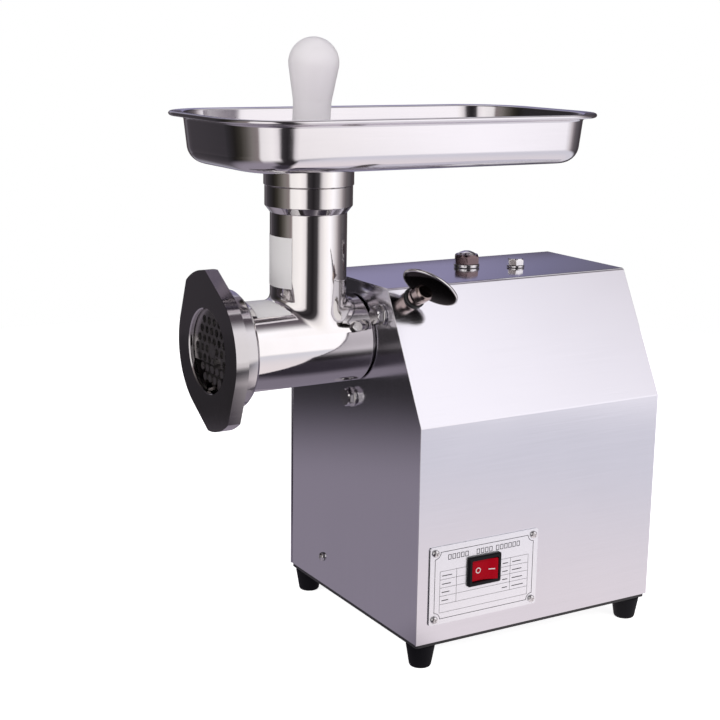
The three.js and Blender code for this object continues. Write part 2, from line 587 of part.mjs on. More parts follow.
/** One closed screw flight: a radial bar carried round and along the axis. */
function augerFlight(radius, root, thickness) {
  const length = AUGER.rear - AUGER.front - thickness;
  const steps = 32;
  const rings = [];
  for (let k = 0; k <= steps; k++) {
    const travel = length * k / steps;
    const angle = 2 * Math.PI * travel / AUGER.pitch;
    const at = (r, shift) => new THREE.Vector3(
      r * Math.cos(angle), AUGER.front + travel + shift, r * Math.sin(angle));
    rings.push([at(root, 0), at(radius, thickness * 0.25), at(radius, thickness * 0.75), at(root, thickness)]);
  }
  return loft(rings);
}

function buildAuger() {
  const core = turnedY([
    [0, GRIND_PLATE.front], [GRIND_PLATE.bore - GAP - 0.2, GRIND_PLATE.front],
    [GRIND_PLATE.bore - GAP - 0.2, AUGER.front], [AUGER.core_front, AUGER.front],
    [AUGER.core_rear, AUGER.rear - 10], [20, AUGER.rear], [JOURNAL_RADIUS, AUGER.rear],
    [JOURNAL_RADIUS, TANG.start], [0, TANG.start],
  ], 32);
  const square = KNIFE_SQUARE / 2;
  const tang = box(-TANG.width / 2, TANG.width / 2, TANG.start - 1, TANG.end, -TANG.span / 2, TANG.span / 2);
  const tangRound = rodY(TANG.span / 2, TANG.start - 2, TANG.end + 1, 32);
  addPiece(head, 'auger', 'steel', join(
    core, box(-square, square, KNIFE.front, AUGER.front + 1, -square, square),
    augerFlight(AUGER.radius, AUGER.core_front - 2, 9), common(tang, tangRound)));
}

// ---------------------------------------------------------------- tray and pusher

/** One level ring of the tray: the rim's outline moved inwards. */
function trayRing(inset, z) {
  const corner = RIM.corner - inset;
  const [half, front, rear] = [RIM.half - inset, RIM.front + inset, RIM.rear - inset];
  const centres = [
    [half - corner, rear - corner], [corner - half, rear - corner],
    [corner - half, front + corner], [half - corner, front + corner],
  ];
  const steps = 5;
  return centres.flatMap(([x, y], quarter) => Array.from({ length: steps + 1 }, (_, k) => {
    const angle = (quarter + k / steps) * Math.PI / 2;
    return new THREE.Vector3(x + corner * Math.cos(angle), y + corner * Math.sin(angle), z);
  }));
}

/** Rings round the tray's lower corner, from the wall down to the floor. */
function trayFillet(inset, floor, radius) {
  return [0, 1, 2, 3].map(k => {
    const angle = k * Math.PI / 6;
    return trayRing(inset + radius * (1 - Math.cos(angle)), floor + radius * (1 - Math.sin(angle)));
  });
}

function buildTray() {
  const outside = [
    ...trayFillet(WALL_INSET.bottom, TRAY_FLOOR, TRAY_FILLET).reverse(),
    trayRing(WALL_INSET.top, RIM.z - 3), trayRing(WALL_INSET.top - 2.6, RIM.z - 1.6),
    trayRing(1.4, RIM.z - 1.9), trayRing(0, RIM.z - 0.6),
  ];
  const inside = [
    trayRing(0, RIM.z + 0.6), trayRing(1.4, RIM.z + 1.7), trayRing(WALL_INSET.top - 0.6, RIM.z + 0.4),
    trayRing(WALL_INSET.top + TRAY_SHEET, RIM.z - 2.2),
    ...trayFillet(WALL_INSET.bottom + TRAY_SHEET, TRAY_FLOOR + TRAY_SHEET, TRAY_FILLET - TRAY_SHEET),
  ];
  const hole = rodZ(SPOUT.bore + 0.5, TRAY_FLOOR - 5, TRAY_FLOOR + 5, 40).translate(0, TUBE.y, 0);
  addPiece(machine, 'tray', 'polished', cut(loft([...outside, ...inside]), hole));

  const spout = addPiece(machine, 'tray_spout', 'polished', turnedZ([
    [SPOUT.bore, COLLAR.bore_base + 1], [SPOUT.spigot, COLLAR.bore_base + 1], [SPOUT.spigot, SPOUT.seat],
    [SPOUT.radius, SPOUT.seat], [SPOUT.radius, TRAY_FLOOR - GAP], [SPOUT.bore, TRAY_FLOOR - GAP],
    [SPOUT.bore, COLLAR.bore_base + 1],
  ], 48));
  spout.position.y = TUBE.y;
}

/** Pusher: a plunger in the throat, a stop flange on the tray's floor and a domed handle. */
function buildPusher() {
  const flange = TRAY_FLOOR + TRAY_SHEET + 1.5;
  const levels = [
    [0, 274], [17, 274], [20, 277], [20, 296], [13.6, 302], [13.6, flange], [28, flange],
    [28, flange + 3], [14, flange + 5], [14, 416], [14.5, 427], [16.4, 437], [18.1, 450],
    [17.2, 458], [13, 465], [7, 468.6], [0, 469.3],
  ];
  const pusher = addPiece(machine, 'pusher', 'white_plastic',
    turnedZ(levels.map(([r, z]) => [r, z - PUSHER_PIVOT_Z]), 24));
  pusher.position.set(0, TUBE.y, PUSHER_PIVOT_Z);
  pusher.rotation.x = -PUSHER_LEAN;
}

// ---------------------------------------------------------------- gearbox

/** Gear outline with straight-sided teeth; tooth 0 points along the angle phase. */
function gearShape({ teeth, module }, phase) {
  const step = 2 * Math.PI / teeth;
  const root = teeth * module / 2 - 1.15 * module;
  const tip = teeth * module / 2 + 0.8 * module;
  const points = [];
  for (let k = 0; k < teeth; k++) {
    for (const [radius, offset] of [[root, -0.29], [tip, -0.11], [tip, 0.11], [root, 0.29]]) {
      const angle = phase + (k + offset) * step;
      points.push([radius * Math.cos(angle), radius * Math.sin(angle)]);
    }
  }
  return polygon(points);
}

/** Direction, in the (x, z) plane, from one shaft to another. */
const bearing = (from, to) => Math.atan2(to.z - from.z, to.x - from.x);

function buildGears() {
  const output = { x: 0, z: 0 };
  const toIdler = bearing(output, IDLER);
  const toMotor = bearing(IDLER, MOTOR);
  const halfTooth = gear => Math.PI / gear.teeth;

  addPiece(head, 'output_gear', 'steel', cut(
    extrudeY(gearShape(OUTPUT_GEAR, toIdler), OUTPUT_GEAR.front, OUTPUT_GEAR.rear),
    rodY(OUTPUT_SHAFT.radius + GAP, OUTPUT_GEAR.front - 2, OUTPUT_GEAR.rear + 2)));
  const nose = turnedY([
    [0, OUTPUT_SHAFT.front], [OUTPUT_SHAFT.radius, OUTPUT_SHAFT.front],
    [OUTPUT_SHAFT.radius, 110], [OUTPUT_SHAFT.tail, 110], [OUTPUT_SHAFT.tail, COVER.rear - 1],
    [0, COVER.rear - 1],
  ], 32);
  addPiece(head, 'output_shaft', 'steel', cut(nose,
    box(-TANG.width / 2 - 0.3, TANG.width / 2 + 0.3, OUTPUT_SHAFT.front - 2, TANG.end + 0.5, -20, 20)));

  const idler = group(head, IDLER.x, 0, IDLER.z);
  addPiece(idler, 'idler_gear', 'steel', cut(
    extrudeY(gearShape(IDLER_GEAR, toMotor), IDLER_GEAR.front, IDLER_GEAR.rear),
    rodY(IDLER_SHAFT_RADIUS + GAP, IDLER_GEAR.front - 2, IDLER_GEAR.rear + 2, 24)));
  addPiece(idler, 'idler_shaft', 'steel', join(
    rodY(IDLER_SHAFT_RADIUS, 49, COVER.rear - 1, 24),
    extrudeY(gearShape(IDLER_PINION, toIdler + Math.PI + halfTooth(IDLER_PINION)),
      OUTPUT_GEAR.front - 1, OUTPUT_GEAR.rear + 1)));

  const motor = group(head, MOTOR.x, 0, MOTOR.z);
  addPiece(motor, 'motor_rotor', 'steel', join(
    rodY(MOTOR_SHAFT_RADIUS, IDLER_GEAR.front - 2, FAN.rear + 1, 24),
    extrudeY(gearShape(MOTOR_PINION, toMotor + Math.PI + halfTooth(MOTOR_PINION)),
      IDLER_GEAR.front - 1, IDLER_GEAR.rear + 1),
    rodY(STATOR.inner - 0.8, STATOR.front + 1, STATOR.rear - 1, 40)));
}

/** Ball bearing drawn as one ring between its shaft and its seat. */
function addBearing(name, spot, inner, outer, y) {
  const ring = addPiece(head, name, 'steel', ringY(outer, inner, 0, 10, 20));
  ring.position.set(spot.x, y, spot.z);
}

/** Outline of the gearbox in the (x, z) plane, as extruded lobes round its three shafts. */
function gearboxLobes(shrink, y0, y1) {
  const lobes = [[{ x: 0, z: 0 }, 42.5], [IDLER, 36], [MOTOR, 22]];
  return lobes.map(([spot, radius]) => rodY(radius - shrink, y0, y1, 28).translate(spot.x, 0, spot.z));
}

function buildGearbox() {
  const neckFlange = Object.values(FLANGE_BOLTS).map(angle =>
    atBoltCircle(rodY(9, NECK.start, NECK.start + 9, 20), angle));
  const floor = HOUSING_BASE - AXIS_Z;
  const pedestal = cut(
    join(box(-34, 34, CASE.front + 6, CASE.rear, floor, -100), box(-66, 66, CASE.front + 6, CASE.rear, floor, floor + 7)),
    box(-25, 25, CASE.front, CASE.rear + 5, floor + 7, -112));
  const outside = join(
    rodY(NECK.radius, NECK.start, CASE.front + 1, 48), ...neckFlange,
    ...gearboxLobes(0, CASE.front, CASE.rear), pedestal);
  const boltHoles = Object.values(FLANGE_BOLTS).map(angle =>
    atBoltCircle(rodY(FLANGE_BOLT_RADIUS + GAP, -5, 14, 16), angle));
  const clampHole = inClampFrame(rodZ(CLAMP.screw + GAP, -60, 5, 20)).translate(0, 0, -AXIS_Z);
  addPiece(head, 'gearbox_case', 'cast', cut(outside,
    rodY(NECK.bore, -5, NECK.bottom, 48),
    rodY(15, -5, CASE.cavity + 1, 32),
    rodY(26.3, 44.5, CASE.cavity + 1, 40),
    rodY(13.3, 48.5, CASE.cavity + 1, 32).translate(IDLER.x, 0, IDLER.z),
    join(...gearboxLobes(4, CASE.cavity, CASE.rear + 5)),
    rodZ(OIL_CAP.thread + GAP, 20, 60, 20).translate(OIL_CAP.x, OIL_CAP.y, 0),
    clampHole, ...boltHoles));

  const lug = box(TOP_BOLT.x - 9, TOP_BOLT.x + 9, COVER.front + 1, TOP_BOLT.y + 9, 34, TOP_Z - SHEET - GAP - AXIS_Z);
  addPiece(head, 'gearbox_cover', 'cast', cut(
    join(...gearboxLobes(0, COVER.front, COVER.rear), lug),
    rodY(20.3, COVER.front - 2, COVER.front + 10.6, 32),
    rodY(OUTPUT_SHAFT.tail + 0.6, COVER.front, COVER.rear + 5, 24),
    rodY(13.3, COVER.front - 2, COVER.front + 10.6, 24).translate(IDLER.x, 0, IDLER.z),
    rodY(IDLER_SHAFT_RADIUS + 0.6, COVER.front, COVER.rear + 5, 16).translate(IDLER.x, 0, IDLER.z),
    rodY(MOTOR_SHAFT_RADIUS + 1, COVER.front - 2, COVER.rear + 5, 24).translate(MOTOR.x, 0, MOTOR.z),
    rodZ(TOP_BOLT.thread + GAP, 20, 60, 16).translate(TOP_BOLT.x, TOP_BOLT.y, 0)));

  const output = { x: 0, z: 0 };
  addBearing('output_bearing_front', output, OUTPUT_SHAFT.radius + GAP, 26, 45);
  addBearing('output_bearing_rear', output, OUTPUT_SHAFT.tail + GAP, 20, COVER.front + 0.3);
  addBearing('idler_bearing_front', IDLER, IDLER_SHAFT_RADIUS + GAP, 13, 48.8);
  addBearing('idler_bearing_rear', IDLER, IDLER_SHAFT_RADIUS + GAP, 13, COVER.front + 0.2);
}

// ---------------------------------------------------------------- motor

function buildMotor() {
  const frame = group(head, MOTOR.x, 0, MOTOR.z);
  const inner = MOTOR_SHELL.radius - MOTOR_SHELL.wall;
  const seat = 19;
  addPiece(frame, 'motor_shell', 'painted', turnedY([
    [MOTOR_SHAFT_RADIUS + 1, MOTOR_SHELL.front], [MOTOR_SHELL.radius - 3, MOTOR_SHELL.front],
    [MOTOR_SHELL.radius, MOTOR_SHELL.front + 3], [MOTOR_SHELL.radius, MOTOR_SHELL.rear],
    [inner, MOTOR_SHELL.rear], [inner, MOTOR_SHELL.front + 4], [seat + 4, MOTOR_SHELL.front + 4],
    [seat + 4, MOTOR_SHELL.front + 12], [seat, MOTOR_SHELL.front + 12], [seat, MOTOR_SHELL.front + 1.5],
    [MOTOR_SHAFT_RADIUS + 1, MOTOR_SHELL.front + 1.5], [MOTOR_SHAFT_RADIUS + 1, MOTOR_SHELL.front],
  ], 40));
  addPiece(frame, 'motor_bell', 'cast', turnedY([
    [MOTOR_SHAFT_RADIUS + 1, MOTOR_BELL.rear], [seat + 4, MOTOR_BELL.rear], [MOTOR_SHELL.radius - 4, MOTOR_BELL.rear - 3],
    [MOTOR_SHELL.radius, MOTOR_BELL.front + 3], [MOTOR_SHELL.radius, MOTOR_BELL.front],
    [seat + 4, MOTOR_BELL.front], [seat + 4, MOTOR_BELL.front - 4], [seat, MOTOR_BELL.front - 4],
    [seat, MOTOR_BELL.rear - 1.5], [MOTOR_SHAFT_RADIUS + 1, MOTOR_BELL.rear - 1.5],
    [MOTOR_SHAFT_RADIUS + 1, MOTOR_BELL.rear],
  ], 40));
  addPiece(frame, 'motor_stator', 'copper', ringY(inner - GAP, STATOR.inner, STATOR.front, STATOR.rear, 40));
  addBearing('motor_bearing_front', MOTOR, MOTOR_SHAFT_RADIUS + GAP, seat - GAP, MOTOR_SHELL.front + 1.8);
  addBearing('motor_bearing_rear', MOTOR, MOTOR_SHAFT_RADIUS + GAP, seat - GAP, MOTOR_BELL.rear - 11.8);

  const hub = ringY(14, MOTOR_SHAFT_RADIUS + GAP, FAN.front, FAN.rear, 24);
  const blade = box(12, FAN.radius, FAN.front + 1, FAN.rear, -1.2, 1.2);
  const blades = Array.from({ length: 7 }, (_, k) => blade.clone().rotateY(k * 2 * Math.PI / 7));
  const disc = ringY(FAN.radius, 12, FAN.front, FAN.front + 2, 32);
  addPiece(frame, 'motor_fan', 'black_plastic', join(hub, disc, ...blades));

  const capacitor = addPiece(machine, 'capacitor', 'black_plastic', turnedY([
    [0, 0], [18, 0], [20, 2], [20, 68], [18, 70], [0, 70],
  ], 24));
  capacitor.position.set(68, 140, HOUSING_BASE + 22);
}

// ---------------------------------------------------------------- assembly

function buildFlangeBolts() {
  for (const [place, angle] of Object.entries(FLANGE_BOLTS)) {
    const radians = THREE.MathUtils.degToRad(angle);
    const bolt = addPiece(head, `flange_bolt_${place}`, 'steel', hexBolt({
      flats: 13, height: 5.3, shank: FLANGE_BOLT_RADIUS, length: 10, washer: 8, washer_height: 1.5,
    }));
    bolt.rotation.x = Math.PI / 2;
    bolt.position.set(
      FLANGE_BOLT_CIRCLE * Math.cos(radians), 0.8 - GAP, FLANGE_BOLT_CIRCLE * Math.sin(radians));
  }
}

buildHousing();
buildNameplate();
buildSwitch();
buildTopFittings();
buildGland();
buildClamp();
buildFlangeBolts();
buildHeadCasting();
buildRingNut();
buildCutters();
buildAuger();
buildTray();
buildPusher();
buildGears();
buildGearbox();
buildMotor();

// The origin is the centre of the machine's footprint, on the floor.
machine.updateMatrixWorld(true);
const bounds = new THREE.Box3().setFromObject(machine, true);
const centre = bounds.getCenter(new THREE.Vector3());
machine.position.set(-centre.x, -centre.y, -bounds.min.z);

const grinder = new THREE.Group();
grinder.add(machine);

export default grinder;
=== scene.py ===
"""Looks of an electric meat grinder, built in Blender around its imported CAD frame.

Pieces are drawn in millimetres in the machine's own frame: the floor is z = 0, the grinding head
points along -Y, the switch is on the +X side, and the origin lies under the barrel's axis, level
with the housing's front edge. piece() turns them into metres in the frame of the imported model.
"""

import math

import bmesh
import bpy
from mathutils import Matrix, Vector


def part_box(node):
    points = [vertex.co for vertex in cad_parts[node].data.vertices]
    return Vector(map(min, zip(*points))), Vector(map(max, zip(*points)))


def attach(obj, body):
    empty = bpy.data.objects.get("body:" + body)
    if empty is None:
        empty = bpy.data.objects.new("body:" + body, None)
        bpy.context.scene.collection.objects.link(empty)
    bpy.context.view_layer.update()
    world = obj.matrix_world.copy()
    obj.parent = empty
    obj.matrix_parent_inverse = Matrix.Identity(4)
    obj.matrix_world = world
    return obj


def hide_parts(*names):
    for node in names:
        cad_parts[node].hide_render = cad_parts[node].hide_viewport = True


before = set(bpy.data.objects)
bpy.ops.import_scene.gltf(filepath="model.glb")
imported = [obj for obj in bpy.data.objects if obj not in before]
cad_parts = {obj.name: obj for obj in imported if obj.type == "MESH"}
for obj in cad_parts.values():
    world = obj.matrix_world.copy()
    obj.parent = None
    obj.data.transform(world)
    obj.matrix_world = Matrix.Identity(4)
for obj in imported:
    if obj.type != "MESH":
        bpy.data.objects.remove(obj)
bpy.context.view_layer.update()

MM = 0.001
wrap_low, wrap_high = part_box("housing_wrap")
ORIGIN = Vector(((wrap_low.x + wrap_high.x) / 2, wrap_low.y, 0))

# ------------------------------------------------------------------ dimensions in millimetres

# Clearance between parts that rest on each other
GAP = 0.3

# Housing, its feet, and the spots of the fittings on its top
BASE_Z = 21.5
WIDTH, TOP_WIDTH, LENGTH = 202.8, 102.4, 226.5
KNEE_Z, TOP_Z = BASE_Z + 170, BASE_Z + 265.8
SLOPE = math.atan2(TOP_Z - KNEE_Z, (WIDTH - TOP_WIDTH) / 2)
SHEET = 1.2
FOOT_INSET = 12
OIL_CAP, TOP_BOLT = (-9, 112), (9, 148)

# Rating plate and its print, in (y, z) on the +X side
PLATE_Y, PLATE_Z = (10.3, 110.3), (BASE_Z + 14.5, BASE_Z + 76.6)
PLATE_FACE, PLATE_SCREW_INSET = WIDTH / 2 + 1.3, 4.6
PRINT_FACE, HAIRLINE = PLATE_FACE + 0.05, 0.25

# Switch: the middle of its bezel, its opening with the corner's radius, and its rocker
SWITCH = Vector((WIDTH / 2 + 1.6, 59.2, BASE_Z + 52))
SWITCH_OPENING, SWITCH_BEZEL = (27.2, 21, 0.5), (30.4, 23.8)
ROCKER_HALF, ROCKER_TILT = 11, 9

# Clamp screw: its wing is an oval plate
WING_HALVES, WING_TURN, WING_HEIGHT = (22.9, 16.5), 51.6, 24.5

# Grinding head, the bolts round it, its nut with two ears, and the mincing plate's holes
AXIS_Z, TUBE_Y = BASE_Z + 220.2, -39.4
BARREL_RADIUS, TUBE_RADIUS = 34.1, 29.1
FLANGE_BOLTS, FLANGE_CIRCLE = {"right": 30, "left": 150, "bottom": 270}, 48.4
NUT_RADIUS, EAR_RADIUS, EAR_TURN, EAR_SPREAD = 51, 60, 109, 18
MINCE_HOLE, MINCE_PITCH = 3, 8.4

# Tray: heights, the rim's outline, the inset of the wall under the rim, and the feed hole
RIM_Z, TRAY_FLOOR, TRAY_SHEET = 412.4, 375.7, 1.5
TRAY_HALF, TRAY_FRONT, TRAY_REAR, TRAY_CORNER = 84.8, -132.5, 189.2, 49.3
TRAY_WALL, TRAY_HOLE = 9.7, 25.5

# The pusher leans on the feed tube's wall
PUSHER_LEAN, PUSHER_PIVOT_Z = 2.2, 360

# Screw threads: outer radius, depth and pitch
M8, M12, CAP_THREAD, NUT_THREAD = (4, 0.45, 1.25), (6, 0.8, 1.75), (6.6, 0.6, 1.5), (39, 1.6, 4)

# Frames in which outlines are drawn: the first two axes hold the outline, the third is its depth
FRAME_XZ = Matrix(((1, 0, 0, 0), (0, 0, 1, 0), (0, 1, 0, 0), (0, 0, 0, 1)))
FRAME_YZ = Matrix(((0, 0, 1, 0), (1, 0, 0, 0), (0, 1, 0, 0), (0, 0, 0, 1)))
BARREL_AXIS = Matrix.Translation((0, 0, AXIS_Z)) @ FRAME_XZ
TUBE_AXIS = Matrix.Translation((0, TUBE_Y, 0))


# ------------------------------------------------------------------ outlines

def arc(cx, cy, radius, start, end, steps):
    """Points on an arc, angles in degrees, both ends included."""
    turn = [math.radians(start + (end - start) * k / steps) for k in range(steps + 1)]
    return [(cx + radius * math.cos(a), cy + radius * math.sin(a)) for a in turn]


def rectangle(width, height, corner, cx=0, cy=0, steps=6):
    """A rectangle with rounded corners, counterclockwise."""
    x, y = width / 2 - corner, height / 2 - corner
    points = []
    for k, (sx, sy) in enumerate(((1, 1), (-1, 1), (-1, -1), (1, -1))):
        points += arc(cx + sx * x, cy + sy * y, corner, 90 * k, 90 * k + 90, steps)
    return points


def circle(radius, steps=48, cx=0, cy=0):
    return arc(cx, cy, radius, 0, 360, steps)[:-1]


def switch_cutout():
    """The switch's opening in (y, z), the same in the sheet and in the rating plate."""
    return rectangle(*SWITCH_OPENING, SWITCH.y, SWITCH.z)


def soften(points, steps=5):
    """Rounds the corners of an open path whose points may carry a radius as a third number."""
    path = []
    for k, point in enumerate(points):
        here = Vector(point[:2])
        radius = point[2] if len(point) > 2 else 0
        if radius == 0 or k in (0, len(points) - 1):
            path.append(tuple(here))
            continue
        before, after = Vector(points[k - 1][:2]) - here, Vector(points[k + 1][:2]) - here
        half = before.angle(after) / 2
        reach = min(radius / math.tan(half), before.length * 0.5, after.length * 0.5)
        radius = reach * math.tan(half)
        start, end = here + before.normalized() * reach, here + after.normalized() * reach
        bisector = (before.normalized() + after.normalized()).normalized()
        middle = here + bisector * (radius / math.sin(half))
        for step in range(steps + 1):
            spoke = (start - middle).lerp(end - middle, step / steps)
            path.append(tuple(middle + spoke.normalized() * radius))
    return path


# ------------------------------------------------------------------ closed bodies as (vertices, faces)

def lathe(profile, segments=96):
    """Turns (radius, height) pairs about +Z. A path that doesn't close on itself ends on the axis."""
    closed = profile[0] == profile[-1]
    rows = profile[:-1] if closed else profile
    vertices, starts = [], []
    for radius, height in rows:
        starts.append(len(vertices))
        if radius < 1e-6:
            vertices.append((0, 0, height))
        else:
            vertices += [(radius * math.cos(a), radius * math.sin(a), height)
                         for a in (2 * math.pi * k / segments for k in range(segments))]
    faces = []
    for k in range(len(rows) if closed else len(rows) - 1):
        low, high = k, (k + 1) % len(rows)
        low_point, high_point = rows[low][0] < 1e-6, rows[high][0] < 1e-6
        for s in range(segments):
            t = (s + 1) % segments
            corners = [starts[low] + (0 if low_point else s)]
            corners += [] if low_point else [starts[low] + t]
            corners += [starts[high] + (0 if high_point else t)]
            corners += [] if high_point else [starts[high] + s]
            if len(corners) > 2:
                faces.append(corners)
    return vertices, faces


def loft(rings, closed=False):
    """Joins rings of equal length. Open, its ends are capped; closed, the last meets the first."""
    count = len(rings[0])
    vertices = [point for ring in rings for point in ring]
    faces = []
    for k in range(len(rings) if closed else len(rings) - 1):
        a, b = k * count, (k + 1) % len(rings) * count
        faces += [[a + i, a + (i + 1) % count, b + (i + 1) % count, b + i] for i in range(count)]
    if not closed:
        faces += [list(range(count)), [len(vertices) - 1 - i for i in range(count)]]
    return vertices, faces


def prism(outline, low, high):
    return loft([[(x, y, z) for x, y in outline] for z in (low, high)])


def perforated(outline, holes, low, high):
    """A flat plate with through holes. Its parts are sorted, as the fill's order varies by run."""
    bm = bmesh.new()
    for loop in [outline, *holes]:
        corners = [bm.verts.new((x, y, low)) for x, y in loop]
        for k, corner in enumerate(corners):
            bm.edges.new((corner, corners[(k + 1) % len(corners)]))
    bmesh.ops.triangle_fill(bm, use_beauty=True, edges=bm.edges[:])
    made = bmesh.ops.extrude_face_region(bm, geom=bm.faces[:])
    raised = [v for v in made["geom"] if isinstance(v, bmesh.types.BMVert)]
    bmesh.ops.translate(bm, verts=raised, vec=(0, 0, high - low))
    vertices = sorted(bm.verts, key=lambda v: tuple(v.co))
    number = {vertex: k for k, vertex in enumerate(vertices)}
    faces = []
    for face in bm.faces:
        corners = [number[v] for v in face.verts]
        first = corners.index(min(corners))
        faces.append(corners[first:] + corners[:first])
    body = [tuple(v.co) for v in vertices], sorted(faces)
    bm.free()
    return body


def threaded(radius, depth, pitch, low, high, segments=48, rows_per_turn=8):
    """A solid rod along +Z with a helical thread that runs out at both ends."""
    steepness = 2.4
    rows = max(2, round((high - low) / pitch * rows_per_turn))
    rings = []
    for row in range(rows + 1):
        z = low + (high - low) * row / rows
        runout = min(1, (z - low) / pitch, (high - z) / pitch)
        ring = []
        for s in range(segments):
            phase = (z / pitch - s / segments) % 1
            groove = depth * runout * min(1, steepness * abs(phase - 0.5))
            angle = 2 * math.pi * s / segments
            ring.append(((radius - groove) * math.cos(angle), (radius - groove) * math.sin(angle), z))
        rings.append(ring)
    return loft(rings)


def hex_head(flats, low, high):
    """A hexagon with the round chamfer of a bolt head on its upper side."""
    outer, count = flats / math.sqrt(3), 72
    rings = []
    for z, cap in ((low, outer), (high - 0.14 * flats, outer), (high - 0.07 * flats, outer * 0.97),
                   (high, outer * 0.84), (high, outer * 0.5)):
        ring = []
        for k in range(count):
            angle = 2 * math.pi * k / count
            edge = flats / 2 / math.cos((angle + math.pi / 6) % (math.pi / 3) - math.pi / 6)
            radius = min(edge, cap)
            ring.append((radius * math.cos(angle), radius * math.sin(angle), z))
        rings.append(ring)
    return loft(rings)


def washer(hole, radius, low, high, lower, upper, segments=64):
    """A flat washer with its outer edges rounded by the radii lower and upper."""
    return lathe(soften([(hole, low), (radius, low, lower), (radius, high, upper), (hole, high, 0.2),
                         (hole, low)]), segments)


def placed(body, matrix):
    vertices, faces = body
    return [tuple(matrix @ Vector(v)) for v in vertices], faces


# ------------------------------------------------------------------ pieces

def build_mesh(name, bodies):
    mesh = bpy.data.meshes.new(name)
    vertices, faces = [], []
    for body_vertices, body_faces in bodies:
        start = len(vertices)
        vertices += body_vertices
        faces += [[start + i for i in face] for face in body_faces]
    mesh.from_pydata([ORIGIN + Vector(v) * MM for v in vertices], [], faces)
    bm = bmesh.new()
    bm.from_mesh(mesh)
    bmesh.ops.recalc_face_normals(bm, faces=bm.faces)
    bm.to_mesh(mesh)
    bm.free()
    return mesh


def new_object(name, data):
    obj = bpy.data.objects.new(name, data)
    bpy.context.scene.collection.objects.link(obj)
    return obj


def combine(obj, body, operation):
    """Joins a body to a piece, or cuts it out, and keeps the result as the piece's mesh."""
    tool = new_object("tool", build_mesh("tool", [body]))
    modifier = obj.modifiers.new("combine", "BOOLEAN")
    modifier.object, modifier.operation, modifier.solver = tool, operation, "EXACT"
    evaluated = obj.evaluated_get(bpy.context.evaluated_depsgraph_get())
    mesh = bpy.data.meshes.new_from_object(evaluated)
    obj.modifiers.clear()
    old, obj.data = obj.data, mesh
    mesh.name = obj.name
    bpy.data.meshes.remove(old)
    bpy.data.objects.remove(tool)


def piece(name, bodies, body, material, replaces=(), place=Matrix(), joined=(), cuts=(),
          bevel=0.0, sharp=30):
    """Makes one shown mesh that rides on a CAD body and may stand for CAD nodes.

    Edges that turn by more than sharp, in degrees, stay crisp, or take a bevel in millimetres.
    """
    bodies = bodies if isinstance(bodies, list) else [bodies]
    obj = new_object(name, build_mesh(name, [placed(b, place) for b in bodies]))
    for operation, others in (("UNION", joined), ("DIFFERENCE", cuts)):
        for other in others:
            combine(obj, other, operation)
    obj.data.materials.clear()
    obj.data.materials.append(material)
    obj.data.polygons.foreach_set("use_smooth", [True] * len(obj.data.polygons))
    obj.data.set_sharp_from_angle(angle=math.radians(sharp))
    if bevel:
        modifier = obj.modifiers.new("bevel", "BEVEL")
        modifier.width, modifier.segments = bevel * MM, 3
        modifier.limit_method, modifier.angle_limit = "ANGLE", math.radians(sharp)
        modifier.harden_normals = True
    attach(obj, body)
    if replaces:
        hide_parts(*replaces)


# ------------------------------------------------------------------ materials

SMUDGES_PER_METRE = 14


def add(tree, kind, inputs=None, **settings):
    """Adds a shader node; an input is a value or another node's output."""
    made = tree.nodes.new(kind)
    for key, value in settings.items():
        setattr(made, key, value)
    for key, value in (inputs or {}).items():
        if isinstance(value, bpy.types.NodeSocket):
            tree.links.new(value, made.inputs[key])
        else:
            made.inputs[key].default_value = value
    return made


def new_material(name, **inputs):
    material = bpy.data.materials.new(name)
    material.use_nodes = True
    shader = material.node_tree.nodes["Principled BSDF"]
    for key, value in inputs.items():
        shader.inputs[key.replace("_", " ")].default_value = value
    return material, material.node_tree, shader


def noise(tree, stretch, detail=3):
    """Noise over the piece, with its scale along X, Y and Z in cycles per metre."""
    place = add(tree, "ShaderNodeTexCoord").outputs["Object"]
    mapping = add(tree, "ShaderNodeMapping", {"Vector": place, "Scale": stretch})
    return add(tree, "ShaderNodeTexNoise", {
        "Vector": mapping.outputs["Vector"], "Scale": 1.0, "Detail": detail, "Roughness": 0.5,
    }).outputs["Fac"]


def remap(tree, value, low, high):
    """Spreads the middle half of a noise's range over low to high."""
    return add(tree, "ShaderNodeMapRange", {
        "Value": value, "From Min": 0.25, "From Max": 0.75, "To Min": low, "To Max": high,
    }).outputs["Result"]


def blend_colors(tree, factor, first, second):
    """Mixes two colours, each an RGB triple or another node's output."""
    mix = add(tree, "ShaderNodeMix", {"Factor": factor}, data_type="RGBA")
    for socket, color in ((mix.inputs[6], first), (mix.inputs[7], second)):
        if isinstance(color, bpy.types.NodeSocket):
            tree.links.new(color, socket)
        else:
            socket.default_value = (*color, 1)
    return mix.outputs[2]


def surface(name, color, roughness, spread, stretch, relief=0.0, relief_depth=0.0002, tint=0.06,
            **inputs):
    """A finish whose fine grain and larger smudges vary its roughness, colour and relief."""
    material, tree, shader = new_material(name, **inputs)
    grain, patches = noise(tree, stretch), noise(tree, (SMUDGES_PER_METRE,) * 3, detail=4)
    both = add(tree, "ShaderNodeMath", {0: grain, 1: patches}, operation="ADD").outputs[0]
    mean = add(tree, "ShaderNodeMath", {0: both, 1: 0.5}, operation="MULTIPLY").outputs[0]
    rough = remap(tree, mean, roughness - spread, roughness + spread)
    tree.links.new(rough, shader.inputs["Roughness"])
    shades = [tuple(min(1, c * (1 + side * tint)) for c in color) for side in (-1, 1)]
    tree.links.new(blend_colors(tree, mean, *shades), shader.inputs["Base Color"])
    if relief:
        bump = add(tree, "ShaderNodeBump", {"Height": grain, "Strength": relief,
                                            "Distance": relief_depth})
        tree.links.new(bump.outputs["Normal"], shader.inputs["Normal"])
    return material


def steel(name, color, roughness, spread, stretch, **inputs):
    return surface(name, color, roughness, spread, stretch, Metallic=1.0, **inputs)


